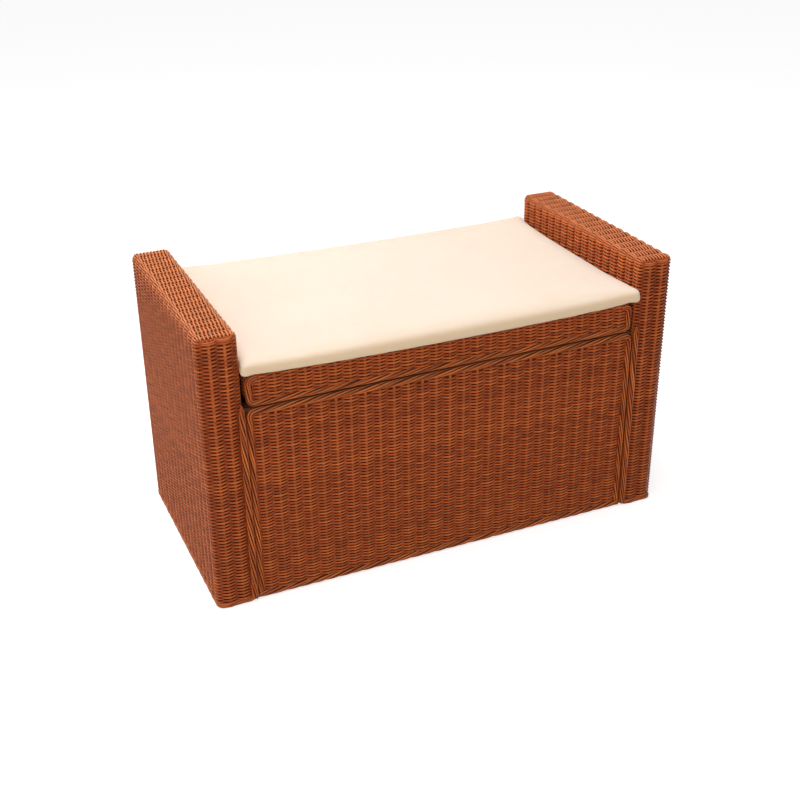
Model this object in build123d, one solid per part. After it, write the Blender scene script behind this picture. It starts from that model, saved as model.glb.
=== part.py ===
from build123d import *
import os
from math import asin, cos, pi, sin, sqrt

os.makedirs("parts", exist_ok=True)

# Woven rattan storage bench: two hollow woven arms, a woven chest between them, a hinged woven
# lid and a loose seat cushion.  Millimetres, +Z up, +X along the width, front towards -Y, and the
# origin on the floor at the middle of the footprint.

# ---- driving dimensions -------------------------------------------------------------------
bench_width = 920.0           # outside of both arms
bench_depth = 460.0           # over the braids on the arm corners
arm_height = 528.0
arm_thickness = 75.0
braid_proud = 2.5             # the corner braids stand this far in front of the arms

stake_diameter = 5.4          # upright canes that the weave passes over
strand_diameter = 3.1         # fine canes that are woven round the stakes
arm_stake_pitch = 26.0        # nominal, closed up to a whole even number round an arm
panel_stake_pitch = 27.6      # nominal, closed up to a whole number across a panel
arm_corner_radius = 15.0      # upright corners of an arm, seen from above
arm_top_radius = 12.5         # rounding where the arm's sides meet its top
arm_front_radius = 8.0        # rounding where the arm's ends meet its top

panel_top = 383.0             # top of the chest's front and back
panel_recess = 3.0            # the front panel lies behind the arms' front by this much
back_recess = 7.0             # the back panel lies in by this much, to leave room for the hinges
panel_side_gap = 3.0          # open joint between a panel's border and the arm
border_width = 12.0           # canes bound along a panel's sides and top, seen from the front
border_depth = 13.0
border_corner_radius = 9.0    # centreline radius of the border's top corners
plinth_diameter = 12.6        # twisted band under the panel
plinth_lift = 1.0             # that band's clearance above the floor

lid_top = 445.0
lid_side_gap = 6.0            # between the lid and each arm
lid_front_setback = 5.0       # the lid's weave lies behind the arms' front by this much
lid_back_recess = 8.0         # and in from the arms' back by this much
lid_top_radius = 14.0         # the weave's rounding from the lid's top to its front and back
lid_border_width = 12.0
lid_border_depth = 12.0
lid_border_radius = 9.0       # centreline radius of its lower corners
lid_side_border_diameter = 9.0

rail_thickness = 22.0         # timber rails behind the woven panels
top_rail_height = 34.0
bottom_rail_height = 22.0
floor_board_thickness = 6.0
bearer_width = 40.0
bearer_count = 2
arm_board_thickness = 9.0
lid_rail_thickness = 20.0
lid_slat_width = 60.0
lid_slat_thickness = 12.0
lid_slat_count = 3
lid_side_rail_lift = 3.0      # the lid's side rails stop short of its lower edge
pole_diameter = 18.0          # rattan poles framed inside the arms
hoop_corner_radius = 10.0     # centreline bend of the hoops
fit_gap = 0.2                 # between pieces that are pushed into place

leaf_gap = 0.6                # between a hinge's two leaves when the lid is shut
leaf_thickness = 1.2
leaf_length = 60.0
leaf_reach = 34.0             # from the pin to the leaf's far edge
knuckle_radius = 3.0
knuckle_count = 5
knuckle_gap = 0.3
pin_radius = 1.5
pin_clearance = 0.05
pin_head_radius = 2.4
pin_head_thickness = 1.2
barrel_standoff = 4.3         # from the back panel's crests to the pin's axis
hinge_inset = 149.0           # from the lid's end to a hinge's middle
screws_per_leaf = 3
screw_radius = 1.75
screw_head_radius = 3.4
screw_length = 16.0
screw_inset = 8.0             # from a leaf's far edge to its line of screws
screw_end_margin = 10.0
screw_hole_clearance = 0.15
frame_screw_radius = 2.5
frame_screw_head_radius = 4.6
frame_screw_length = 58.0
frame_screw_head_depth = 3.0  # the head's countersink in the pole

braid_width = 12.5
braid_reach = 2.0             # how far a corner braid stands past the arm's inner face
braid_top = 396.0
braid_point = 16.0            # length of its pointed top

cushion_thickness = 30.0
cushion_side_gap = 1.5
cushion_back_inset = 10.0     # from the arms' back to the cushion's back
cushion_lift = 0.4            # rests on the crests of the lid's weave
cushion_corner_radius = 14.0  # upright corners
cushion_top_radius = 9.0
cushion_bottom_radius = 3.0
cover_thickness = 1.0

# ---- worked out from them -----------------------------------------------------------------
crest = stake_diameter / 2 + strand_diameter       # stake's centre to the weave's outside
rib_rise = crest - strand_diameter / 2             # from the dip between stakes to the crest
weave_thickness = 2 * crest

arm_depth = bench_depth - 2 * braid_proud
arm_centre_x = bench_width / 2 - arm_thickness / 2
arm_inner_x = bench_width / 2 - arm_thickness
arm_front_y = -arm_depth / 2

pole_radius = pole_diameter / 2
hoop_half_x = arm_thickness / 2 - weave_thickness - fit_gap - pole_radius
hoop_half_y = arm_depth / 2 - weave_thickness - fit_gap - pole_radius
hoop_low_z = arm_board_thickness + pole_radius
hoop_high_z = arm_height - weave_thickness - fit_gap - pole_radius
post_y = hoop_half_y - hoop_corner_radius       # posts stand where the hoops' bends begin

panel_plane_front = arm_front_y + panel_recess + crest
panel_plane_back = arm_depth / 2 - back_recess - crest
panel_half_width = arm_inner_x - panel_side_gap
panel_weave_top = panel_top - border_width
plinth_top = plinth_lift + plinth_diameter
rail_offset = max(crest, border_depth / 2) + fit_gap    # panel's middle plane to the rail's face
front_rail_face = panel_plane_front + rail_offset
back_rail_face = panel_plane_back - rail_offset
rail_half_length = arm_inner_x - fit_gap
bottom_rail_bottom = hoop_low_z - bottom_rail_height / 2
bottom_rail_top = bottom_rail_bottom + bottom_rail_height
top_rail_z = panel_top - top_rail_height / 2

leaf_stack = 2 * leaf_thickness + leaf_gap
lid_bottom = panel_top + leaf_stack
pin_z = panel_top + leaf_stack / 2
pin_y = panel_plane_back + crest + barrel_standoff

lid_half_width = arm_inner_x - lid_side_gap
hinge_x = lid_half_width - hinge_inset
lid_front = arm_front_y + lid_front_setback
lid_back = arm_depth / 2 - lid_back_recess
lid_weave_half = lid_half_width - lid_border_width      # the ribbed part, between the borders
lid_skirt_inset = crest + max(crest, lid_border_depth / 2) + fit_gap
lid_inside_front = lid_front + lid_skirt_inset
lid_inside_back = lid_back - lid_skirt_inset
lid_rail_half = lid_weave_half - fit_gap
lid_rail_top = lid_top - weave_thickness - fit_gap


def save(node, *solids):
    """Write one node: one solid, or a group of identical separate ones."""
    shape = solids[0] if len(solids) == 1 else Compound(children=list(solids))
    export_step(shape, f"parts/{node}.step")


def one(shape):
    """The single solid of a boolean result."""
    return shape.solids().sort_by(SortBy.VOLUME)[-1]


def bar(x0, x1, y0, y1, z0, z1):
    """A box given by its limits."""
    box = Box(x1 - x0, y1 - y0, z1 - z0)
    return Pos((x0 + x1) / 2, (y0 + y1) / 2, (z0 + z1) / 2) * box


# ---- the weave ----------------------------------------------------------------------------
def rib_arcs(low, high, count, valley, peak):
    """Arcs over each stake, from low to high along X; valley and peak are heights in Y."""
    pitch = (high - low) / count
    arcs = []
    for index in range(count):
        left = low + index * pitch
        middle = left + pitch / 2
        right = left + pitch
        arcs.append(ThreePointArc((left, valley), (middle, peak), (right, valley)))
    return arcs


def stake_count(length, pitch):
    """How many stakes stand along a length."""
    return max(1, round(length / pitch))


def woven_panel(half_width, bottom, top, plane_y):
    """An upright woven panel: ribs of canes over stakes on both faces, thin between them."""
    count = stake_count(2 * half_width, panel_stake_pitch)
    thin = strand_diameter / 2
    outside = rib_arcs(-half_width, half_width, count, thin, crest)
    inside = rib_arcs(-half_width, half_width, count, -thin, -crest)
    ends = [Line((x, -thin), (x, thin)) for x in (-half_width, half_width)]
    face = make_face(Wire(outside + inside + ends))
    return Pos(0, plane_y, bottom) * extrude(face, top - bottom)


def relieved(shape, half_width, z, bend, border):
    """A woven piece with its corners at height z cut back, to clear the inside of a border's
    bend; bend is the border's centreline radius and border its width."""
    leg = (2 - sqrt(2)) * (bend - border / 2) + 2 * fit_gap
    cut = Rot(0, 45, 0) * Box(sqrt(2) * leg, 2 * bench_depth, sqrt(2) * leg)
    for side in (-1, 1):
        shape -= Pos(side * half_width, 0, z) * cut
    return one(shape)


def ribbed_arch(half_span, height, radius, half_length, count, foot):
    """A woven sheet bent over as an arch in XZ, with its stakes running up, round and down.
    It spans half_span either side of x = 0 and half_length either side of y = 0, has its crown
    at height and its feet at foot, and shows its ribs on the outside."""
    inner = radius - weave_thickness
    spring = height - radius
    flat = half_span - radius

    # the section across the stakes, measured outwards from the bend's centre
    arcs = rib_arcs(-half_length, half_length, count, radius - rib_rise, radius)
    back = [Line((-half_length, inner), (half_length, inner))]
    ends = [Line((s, inner), (s, radius - rib_rise)) for s in (-half_length, half_length)]
    section = Rot(0, 0, -90) * make_face(Wire(arcs + back + ends))     # outwards is +X

    limb = extrude(Pos(flat, 0, foot) * section, spring - foot, dir=(0, 0, 1))
    bend_axis = Axis((flat, 0, spring), (0, -1, 0))
    bend = revolve(Pos(flat, 0, spring) * section, bend_axis, 90)
    upright = Pos(flat, 0, spring) * Rot(0, -90, 0) * section          # outwards is +Z
    crown = extrude(upright, 2 * flat, dir=(-1, 0, 0))
    side = [limb, bend]
    return [crown] + side + [mirror(piece, Plane.YZ) for piece in side]


# ---- arms ---------------------------------------------------------------------------------
def arm_path():
    """Stake centreline round an arm: half sizes, corner radius and the real stake pitch."""
    half_x = arm_thickness / 2 - crest
    half_y = arm_depth / 2 - crest
    corner = arm_corner_radius - crest
    length = 4 * (half_x + half_y - 2 * corner) + 2 * pi * corner
    count = 4 * round((length / arm_stake_pitch - 2) / 4) + 2      # a dip at each end's middle
    return half_x, half_y, corner, length / count


def point_on_arm(distance, offset):
    """A point on the path round an arm, offset outwards; distance runs from the front's middle
    towards +X and stays within the front half."""
    half_x, half_y, corner, _ = arm_path()
    side = 1 if distance >= 0 else -1
    run = abs(distance)
    straight = half_x - corner
    bend = corner * pi / 2
    if run <= straight:
        return side * run, -half_y - offset
    if run <= straight + bend:
        angle = (run - straight) / corner
        reach = corner + offset
        return side * (straight + reach * sin(angle)), -half_y + corner - reach * cos(angle)
    return side * (half_x + offset), -half_y + corner + run - straight - bend


def arm_end_stakes():
    """How many stakes lie each side of the end's middle, up to the last whole one by the bend."""
    half_x, _, corner, pitch = arm_path()
    bend_end = half_x - corner + corner * pi / 2
    return int(bend_end / pitch) + 1


def arm_seam_y():
    """Where the arched middle of an arm meets its end."""
    _, _, _, pitch = arm_path()
    return point_on_arm(arm_end_stakes() * pitch, 0)[1]


def arm_end(seam_y):
    """The front end of an arm, solid: ribs up its corners and a rounded, ribbed top."""
    _, _, _, pitch = arm_path()
    count = arm_end_stakes()
    arcs = []
    for index in range(-count, count):
        start = point_on_arm(index * pitch, crest - rib_rise)
        middle = point_on_arm((index + 0.5) * pitch, crest)
        end = point_on_arm((index + 1) * pitch, crest - rib_rise)
        arcs.append(ThreePointArc(start, middle, end))
    first = point_on_arm(-count * pitch, crest - rib_rise)
    last = point_on_arm(count * pitch, crest - rib_rise)
    plan = make_face(Wire(arcs + [Line(last, first)]))
    block = extrude(plan, arm_height)

    half = arm_thickness / 2
    bounds = Pos(0, seam_y, 0) * Box(arm_thickness, 2 * arm_depth, 2 * arm_height)
    bounds = fillet(bounds.edges().filter_by(Axis.Y).group_by(Axis.Z)[-1], arm_top_radius)

    stake_y = seam_y - pitch / 2
    dip_z = arm_height - rib_rise
    rib_radius = ((pitch / 2) ** 2 + rib_rise ** 2) / (2 * rib_rise)
    half_angle = asin(pitch / 2 / rib_radius) / 2
    on_rib = (stake_y + rib_radius * sin(half_angle),
              arm_height - rib_radius + rib_radius * cos(half_angle))
    bend_y = arm_front_y + arm_front_radius
    bend_z = arm_height - arm_front_radius
    side_view = Wire([
        Line((seam_y, 0), (seam_y, dip_z)),
        ThreePointArc((seam_y, dip_z), on_rib, (stake_y, arm_height)),
        Line((stake_y, arm_height), (bend_y, arm_height)),
        CenterArc((bend_y, bend_z), arm_front_radius, 90, 90),
        Line((arm_front_y, bend_z), (arm_front_y, 0)),
        Line((arm_front_y, 0), (seam_y, 0)),
    ])
    slab = extrude(Plane.YZ * make_face(side_view), half, both=True)
    return one(block & bounds & slab)


def arm_cavity():
    """The hollow inside an arm."""
    half_x = arm_thickness / 2 - weave_thickness
    half_y = arm_depth / 2 - weave_thickness
    top = arm_height - weave_thickness
    hollow = Box(2 * half_x, 2 * half_y, 2 * top)
    hollow = fillet(hollow.edges().filter_by(Axis.Z), arm_corner_radius - weave_thickness)
    return hollow


def arm_weave():
    """A hollow woven arm standing round x = 0: stakes rise up one side, cross the top and come
    down the other; the ends are woven round the corners."""
    seam = -arm_seam_y()
    _, _, _, pitch = arm_path()
    count = round(2 * seam / pitch)
    pieces = ribbed_arch(arm_thickness / 2, arm_height, arm_top_radius, seam, count, 0)
    end = arm_end(-seam)
    pieces += [end, mirror(end, Plane.XZ)]
    return one(pieces[0].fuse(*pieces[1:]) - arm_cavity())


def arm_edge_braid(weave):
    """Canes bound up an arm's inner front corner, seated in the dip of its weave and drawn to a
    point at the top.  Stands in the arm's own frame, at its +X front corner."""
    half = braid_width / 2
    x = arm_thickness / 2 + braid_reach - half
    y = -bench_depth / 2 + half
    section = Pos(x, y, 0) * Circle(half)
    shoulder = braid_top - braid_point
    braid = extrude(section, shoulder)
    blunt = 0.2
    tip = Pos(x, y, shoulder + braid_point / 2) * Cone(half, blunt * half, braid_point)
    return one(braid.fuse(tip) - weave)


def arm_board():
    """Plywood that closes an arm underneath."""
    width = arm_thickness - 2 * (weave_thickness + fit_gap)
    depth = arm_depth - 2 * (weave_thickness + fit_gap)
    corner = arm_corner_radius - weave_thickness - fit_gap
    return extrude(RectangleRounded(width, depth, corner), arm_board_thickness)


def arm_hoop(z):
    """A rattan pole bent round inside the arm's weave."""
    outline = RectangleRounded(2 * hoop_half_x, 2 * hoop_half_y, hoop_corner_radius)
    path = Pos(0, 0, z) * outline.face().outer_wire()
    return one(sweep(Plane(origin=path @ 0, z_dir=path % 0) * Circle(pole_radius), path=path))


def arm_post(side, end, hoops):
    """A rattan post between the hoops, its ends coped to sit on them."""
    length = hoop_high_z - hoop_low_z
    middle = Pos(side * hoop_half_x, end * post_y, hoop_low_z + length / 2)
    post = middle * Cylinder(pole_radius, length)
    return one(post - hoops[0] - hoops[1])


# ---- screws -------------------------------------------------------------------------------
def wood_screw(radius, head_radius, length):
    """A countersunk screw pointing down, its head's face at z = 0."""
    head = head_radius - radius
    tip = 2 * radius
    shank = length - head - tip
    outline = Polyline([(0, 0), (head_radius, 0), (radius, -head), (radius, -head - shank),
                        (0.15 * radius, -length), (0, -length)], close=True)
    return revolve(Plane.XZ * make_face(outline), Axis.Z)


def screw_hole(radius, head_radius, length):
    """What a countersunk screw takes out of the pieces that it holds."""
    return wood_screw(radius + screw_hole_clearance, head_radius + screw_hole_clearance,
                      length + screw_hole_clearance)


def frame_screw_places():
    """Where the screws run from the arms' inner poles into the ends of the rails."""
    head_x = arm_centre_x + pole_radius - hoop_half_x - frame_screw_head_depth
    places = []
    for side in (-1, 1):
        for end in (-1, 1):
            for z in (hoop_low_z, top_rail_z):
                point = Pos(side * head_x, end * post_y, z)
                places.append(point * Rot(0, side * 90, 0))
    return places


# ---- the chest between the arms -----------------------------------------------------------
def rail(face_y, inwards, half_length, thickness, bottom, top):
    """A timber rail along the bench, starting at face_y and running inwards."""
    far = face_y + inwards * thickness
    return bar(-half_length, half_length, min(face_y, far), max(face_y, far), bottom, top)


def swept_border(points, radius, width, depth, plane_y):
    """A bound border of oval section: along the points in XZ, rounded where they turn."""
    path = FilletPolyline(*[(x, 0, z) for x, z in points], radius=radius)
    section = Plane(origin=path @ 0, x_dir=(1, 0, 0), z_dir=path % 0) * Ellipse(width / 2, depth / 2)
    return Pos(0, plane_y, 0) * one(sweep(section, path=path))


def panel_border(plane_y):
    """Up one side of a panel, along its top and down the other side."""
    x = panel_half_width - border_width / 2
    z = panel_top - border_width / 2
    points = [(-x, plinth_top), (-x, z), (x, z), (x, plinth_top)]
    return swept_border(points, border_corner_radius, border_width, border_depth, plane_y)


def plinth_band(plane_y):
    """The twisted band under a panel."""
    band = Cylinder(plinth_diameter / 2, 2 * panel_half_width)
    return Pos(0, plane_y, plinth_lift + plinth_diameter / 2) * Rot(0, 90, 0) * band


def panel_weave(plane_y):
    """A panel's woven part, inside its border."""
    half_width = panel_half_width - border_width
    panel = woven_panel(half_width, plinth_top, panel_weave_top, plane_y)
    return relieved(panel, half_width, panel_weave_top, border_corner_radius, border_width)


def floor_board():
    """Plywood that the chest's contents lie on."""
    top = bottom_rail_top + floor_board_thickness
    return bar(-rail_half_length, rail_half_length, front_rail_face, back_rail_face,
               bottom_rail_top, top)


def floor_bearer(index):
    """A batten under the floor board, between the bottom rails."""
    x = rail_half_length * (2 * (index + 1) / (bearer_count + 1) - 1)
    return bar(x - bearer_width / 2, x + bearer_width / 2, front_rail_face + rail_thickness,
               back_rail_face - rail_thickness, bottom_rail_bottom, bottom_rail_top)


# ---- hinges -------------------------------------------------------------------------------
def leaf_screw_places():
    """Screw positions on a leaf, in the hinge's own frame: pin along X, leaf towards -Y."""
    span = leaf_length - 2 * screw_end_margin
    step = span / (screws_per_leaf - 1)
    y = -leaf_reach + screw_inset
    return [(-span / 2 + index * step, y) for index in range(screws_per_leaf)]


def hinge_leaf(first, above):
    """One leaf with every second knuckle, the leaf lying just below or above the pin's plane."""
    pitch = leaf_length / knuckle_count
    low = leaf_gap / 2 if above else -leaf_gap / 2 - leaf_thickness
    high = low + leaf_thickness
    relief = knuckle_radius + knuckle_gap
    leaf = bar(-leaf_length / 2, leaf_length / 2, -leaf_reach, -relief, low, high)
    for index in range(first, knuckle_count, 2):
        left = -leaf_length / 2 + index * pitch + knuckle_gap / 2
        right = left + pitch - knuckle_gap
        barrel = Cylinder(knuckle_radius, right - left)
        knuckle = Pos((left + right) / 2, 0, 0) * Rot(0, 90, 0) * barrel
        tongue = bar(left, right, -relief, 0, low, high)
        leaf = leaf + tongue + knuckle
    leaf -= Rot(0, 90, 0) * Cylinder(pin_radius + pin_clearance, 2 * leaf_length)
    for x, y in leaf_screw_places():
        hole = screw_hole(screw_radius, screw_head_radius, screw_length)
        face = Pos(x, y, low) * Rot(180, 0, 0) if above else Pos(x, y, high)
        leaf -= face * hole
    return one(leaf)


def hinge_pin():
    """The pin, with a button head outside the last knuckle at each end."""
    gap = knuckle_gap / 2
    pin = Rot(0, 90, 0) * Cylinder(pin_radius, leaf_length + 2 * gap)
    for side in (-1, 1):
        x = side * (leaf_length / 2 + gap + pin_head_thickness / 2)
        head = Cylinder(pin_head_radius, pin_head_thickness)
        pin += Pos(x, 0, 0) * Rot(0, 90, 0) * head
    return one(pin)


def leaf_screws(x, above):
    """Places of one leaf's screws in the bench: those above drive up into the lid."""
    places = []
    for dx, dy in leaf_screw_places():
        if above:
            places.append(Pos(x + dx, pin_y + dy, pin_z + leaf_gap / 2) * Rot(180, 0, 0))
        else:
            places.append(Pos(x + dx, pin_y + dy, pin_z - leaf_gap / 2))
    return places


# ---- lid ----------------------------------------------------------------------------------
def lid_weave():
    """The lid's woven skin: stakes run up its front, over its top and down its back, and two
    woven ends close it at the sides."""
    half_span = (lid_back - lid_front) / 2
    centre_y = (lid_back + lid_front) / 2
    count = stake_count(2 * lid_weave_half, panel_stake_pitch)
    foot = lid_bottom + lid_border_width
    arch = ribbed_arch(half_span, lid_top, lid_top_radius, lid_weave_half, count, foot)
    pieces = [Pos(0, centre_y, 0) * Rot(0, 0, 90) * piece for piece in arch]

    end_low = lid_inside_front
    end_high = lid_inside_back
    end_foot = lid_bottom + lid_border_width / 2 + lid_side_border_diameter
    end_count = stake_count(end_high - end_low, panel_stake_pitch)
    arcs = rib_arcs(end_low, end_high, end_count, lid_border_width - rib_rise, lid_border_width)
    back = [Line((end_low, 0), (end_high, 0))]
    sides = [Line((y, 0), (y, lid_border_width - rib_rise)) for y in (end_low, end_high)]
    outline = Rot(0, 0, -90) * mirror(make_face(Wire(arcs + back + sides)), Plane.YZ)
    end = Pos(lid_weave_half, 0, end_foot) * extrude(outline, lid_top - end_foot, dir=(0, 0, 1))
    rounding = Pos(0, centre_y, 0) * Box(2 * lid_half_width, 2 * half_span, 2 * lid_top)
    top_edges = rounding.edges().filter_by(Axis.Y).group_by(Axis.Z)[-1]
    end = end & fillet(top_edges, lid_border_width - weave_thickness / 2)
    pieces += [end, mirror(end, Plane.YZ)]
    skin = pieces[0].fuse(*pieces[1:])
    return relieved(skin, lid_weave_half, foot, lid_border_radius, lid_border_width)


def lid_border(plane_y):
    """Down one side of the lid's front or back, along its lower edge and up the other side."""
    x = lid_half_width - lid_border_width / 2
    z = lid_bottom + lid_border_width / 2
    top = lid_top - crest / 2
    points = [(-x, top), (-x, z), (x, z), (x, top)]
    return swept_border(points, lid_border_radius, lid_border_width, lid_border_depth, plane_y)


def lid_side_border(side):
    """A thinner band under the lid's end, tucked in from the corner."""
    radius = lid_side_border_diameter / 2
    x = side * (lid_weave_half + radius)
    z = lid_bottom + lid_border_width / 2 + radius
    length = lid_inside_back - lid_inside_front
    band = Rot(90, 0, 0) * Cylinder(radius, length)
    return Pos(x, (lid_inside_back + lid_inside_front) / 2, z) * band


def lid_cross_rail(face_y, inwards):
    """The front or back rail of the lid's frame, rounded on top to lie in the weave's bend."""
    timber = rail(face_y, inwards, lid_rail_half, lid_rail_thickness, lid_bottom, lid_rail_top)
    along_top = timber.edges().filter_by(Axis.X).group_by(Axis.Z)[-1]
    outer = along_top.sort_by(Axis.Y)[0 if inwards > 0 else -1]
    return one(fillet(outer, lid_top_radius - weave_thickness + fit_gap))


def lid_side_rail(side):
    """A side rail of the lid's frame, between the front and back rails."""
    outer = lid_rail_half
    inner = outer - lid_rail_thickness
    return bar(min(side * inner, side * outer), max(side * inner, side * outer),
               lid_inside_front + lid_rail_thickness, lid_inside_back - lid_rail_thickness,
               lid_bottom + lid_side_rail_lift, lid_rail_top)


def lid_slat(index):
    """A slat under the lid's weave that carries whoever sits on it."""
    x = lid_rail_half * (2 * (index + 1) / (lid_slat_count + 1) - 1)
    return bar(x - lid_slat_width / 2, x + lid_slat_width / 2,
               lid_inside_front + lid_rail_thickness, lid_inside_back - lid_rail_thickness,
               lid_rail_top - lid_slat_thickness, lid_rail_top)


# ---- cushion ------------------------------------------------------------------------------
def cushion_block(inset):
    """The cushion's shape, drawn in on every side by inset."""
    half_width = arm_inner_x - cushion_side_gap - inset
    front = -bench_depth / 2 + inset
    back = arm_depth / 2 - cushion_back_inset - inset
    bottom = lid_top + cushion_lift + inset
    top = lid_top + cushion_lift + cushion_thickness - inset
    block = bar(-half_width, half_width, front, back, bottom, top)
    block = fillet(block.edges().filter_by(Axis.Z), cushion_corner_radius - inset)
    block = fillet(block.edges().group_by(Axis.Z)[-1], cushion_top_radius - inset)
    return fillet(block.edges().group_by(Axis.Z)[0], cushion_bottom_radius - inset)


# ---- build --------------------------------------------------------------------------------
def build_arms(screw_cuts):
    """Both arms: weave, board, hoops, posts and corner braids."""
    hoops = [arm_hoop(hoop_low_z), arm_hoop(hoop_high_z)]
    weave = arm_weave()
    braid = arm_edge_braid(weave)
    for name, side in (("left", -1), ("right", 1)):
        place = Pos(side * arm_centre_x, 0, 0)
        inner = -side
        save(f"{name}_arm_weave", one(place * weave - screw_cuts))
        save(f"{name}_arm_board", place * arm_board())
        save(f"{name}_arm_bottom_hoop", one(place * hoops[0] - screw_cuts))
        save(f"{name}_arm_top_hoop", place * hoops[1])
        for end_name, end in (("front", -1), ("back", 1)):
            outer_post = arm_post(side, end, hoops)
            inner_post = arm_post(inner, end, hoops)
            save(f"{name}_arm_{end_name}_outer_post", place * outer_post)
            save(f"{name}_arm_{end_name}_inner_post", one(place * inner_post - screw_cuts))
        facing = braid if inner > 0 else mirror(braid, Plane.YZ)
        save(f"{name}_arm_front_braid", place * facing)
        save(f"{name}_arm_back_braid", place * mirror(facing, Plane.XZ))


def build_chest(screw_cuts, leaf_cuts):
    """Panels, borders, rails and floor."""
    rows = (("front", panel_plane_front, front_rail_face, 1),
            ("back", panel_plane_back, back_rail_face, -1))
    for name, plane_y, face_y, inwards in rows:
        save(f"{name}_panel_weave", panel_weave(plane_y))
        save(f"{name}_panel_border", panel_border(plane_y))
        save(f"{name}_plinth_band", plinth_band(plane_y))
        top = rail(face_y, inwards, rail_half_length, rail_thickness,
                   panel_top - top_rail_height, panel_top)
        low = rail(face_y, inwards, rail_half_length, rail_thickness,
                   bottom_rail_bottom, bottom_rail_top)
        save(f"{name}_top_rail", one(top - screw_cuts - leaf_cuts))
        save(f"{name}_bottom_rail", one(low - screw_cuts))
    save("floor_board", floor_board())
    for index in range(bearer_count):
        save(f"floor_bearer_{index + 1}", floor_bearer(index))


def build_lid(leaf_cuts):
    """Woven skin, borders, frame and slats."""
    save("lid_weave", lid_weave())
    save("lid_front_border", lid_border(lid_front + crest))
    save("lid_back_border", lid_border(lid_back - crest))
    save("lid_front_rail", lid_cross_rail(lid_inside_front, 1))
    save("lid_back_rail", one(lid_cross_rail(lid_inside_back, -1) - leaf_cuts))
    for name, side in (("left", -1), ("right", 1)):
        save(f"lid_{name}_rail", lid_side_rail(side))
        save(f"lid_{name}_border", lid_side_border(side))
    for index in range(lid_slat_count):
        save(f"lid_slat_{index + 1}", lid_slat(index))


def build_hinges():
    """Two butt hinges, each of two leaves and a pin."""
    for name, side in (("left", -1), ("right", 1)):
        place = Pos(side * hinge_x, pin_y, pin_z)
        save(f"{name}_hinge_chest_leaf", place * hinge_leaf(0, above=False))
        save(f"{name}_hinge_lid_leaf", place * hinge_leaf(1, above=True))
        save(f"{name}_hinge_pin", place * hinge_pin())


def build_screws(frame_places, chest_places, lid_places):
    """The screws, in one node for each kind and body."""
    frame_screw = wood_screw(frame_screw_radius, frame_screw_head_radius, frame_screw_length)
    leaf_screw = wood_screw(screw_radius, screw_head_radius, screw_length)
    save("frame_screws", *[place * frame_screw for place in frame_places])
    save("hinge_chest_screws", *[place * leaf_screw for place in chest_places])
    save("hinge_lid_screws", *[place * leaf_screw for place in lid_places])


def build_cushion():
    """A loose cushion: its cover and the foam inside."""
    foam = cushion_block(cover_thickness)
    save("cushion_cover", one(cushion_block(0) - foam))
    save("cushion_foam", foam)


def main():
    frame_places = frame_screw_places()
    chest_places = []
    lid_places = []
    for side in (-1, 1):
        chest_places += leaf_screws(side * hinge_x, above=False)
        lid_places += leaf_screws(side * hinge_x, above=True)
    frame_hole = screw_hole(frame_screw_radius, frame_screw_head_radius, frame_screw_length)
    leaf_hole = screw_hole(screw_radius, screw_head_radius, screw_length)
    frame_cuts = [place * frame_hole for place in frame_places]
    chest_cuts = [place * leaf_hole for place in chest_places]
    lid_cuts = [place * leaf_hole for place in lid_places]

    build_arms(frame_cuts)
    build_chest(frame_cuts, chest_cuts)
    build_lid(lid_cuts)
    build_hinges()
    build_screws(frame_places, chest_places, lid_places)
    build_cushion()


if __name__ == "__main__":
    main()
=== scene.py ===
from math import cos, pi, radians, sin, sqrt, tau

import bmesh
import bpy
import numpy as np
from bpy.props import FloatProperty, FloatVectorProperty, IntProperty, PointerProperty
from mathutils import Euler, Matrix, Vector, noise


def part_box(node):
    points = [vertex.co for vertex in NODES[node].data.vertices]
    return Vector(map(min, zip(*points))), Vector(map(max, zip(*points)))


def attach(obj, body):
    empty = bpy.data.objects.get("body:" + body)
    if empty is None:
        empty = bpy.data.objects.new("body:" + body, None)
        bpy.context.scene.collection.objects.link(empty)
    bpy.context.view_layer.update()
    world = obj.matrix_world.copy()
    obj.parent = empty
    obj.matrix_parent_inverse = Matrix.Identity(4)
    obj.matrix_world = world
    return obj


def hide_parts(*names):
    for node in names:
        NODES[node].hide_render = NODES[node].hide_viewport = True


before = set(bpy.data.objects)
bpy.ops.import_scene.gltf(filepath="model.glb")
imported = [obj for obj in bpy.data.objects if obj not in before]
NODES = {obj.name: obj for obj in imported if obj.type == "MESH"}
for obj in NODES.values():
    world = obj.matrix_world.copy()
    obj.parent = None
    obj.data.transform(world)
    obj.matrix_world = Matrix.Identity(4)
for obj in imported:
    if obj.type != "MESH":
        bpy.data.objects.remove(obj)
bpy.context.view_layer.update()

bl_info = {
    "name": "Woven storage bench",
    "version": (1, 0, 0),
    "blender": (4, 5, 0),
    "location": "View3D > Sidebar > Bench",
    "description": "Weaves the canes, bindings and cushion of a storage bench round its frame",
    "category": "Object",
}

CUSHION_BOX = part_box("cushion_cover")
LID_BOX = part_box("lid_weave")
ARM_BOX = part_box("left_arm_weave")
FACES = (("front", -1), ("back", 1))
ENDS = (("left", -1), ("right", 1))
X, Y, Z = Vector((1, 0, 0)), Vector((0, 1, 0)), Vector((0, 0, 1))
ARM_SEEDS = (("left", 11.0), ("right", 17.0))
LID_SEED = 31.0

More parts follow.
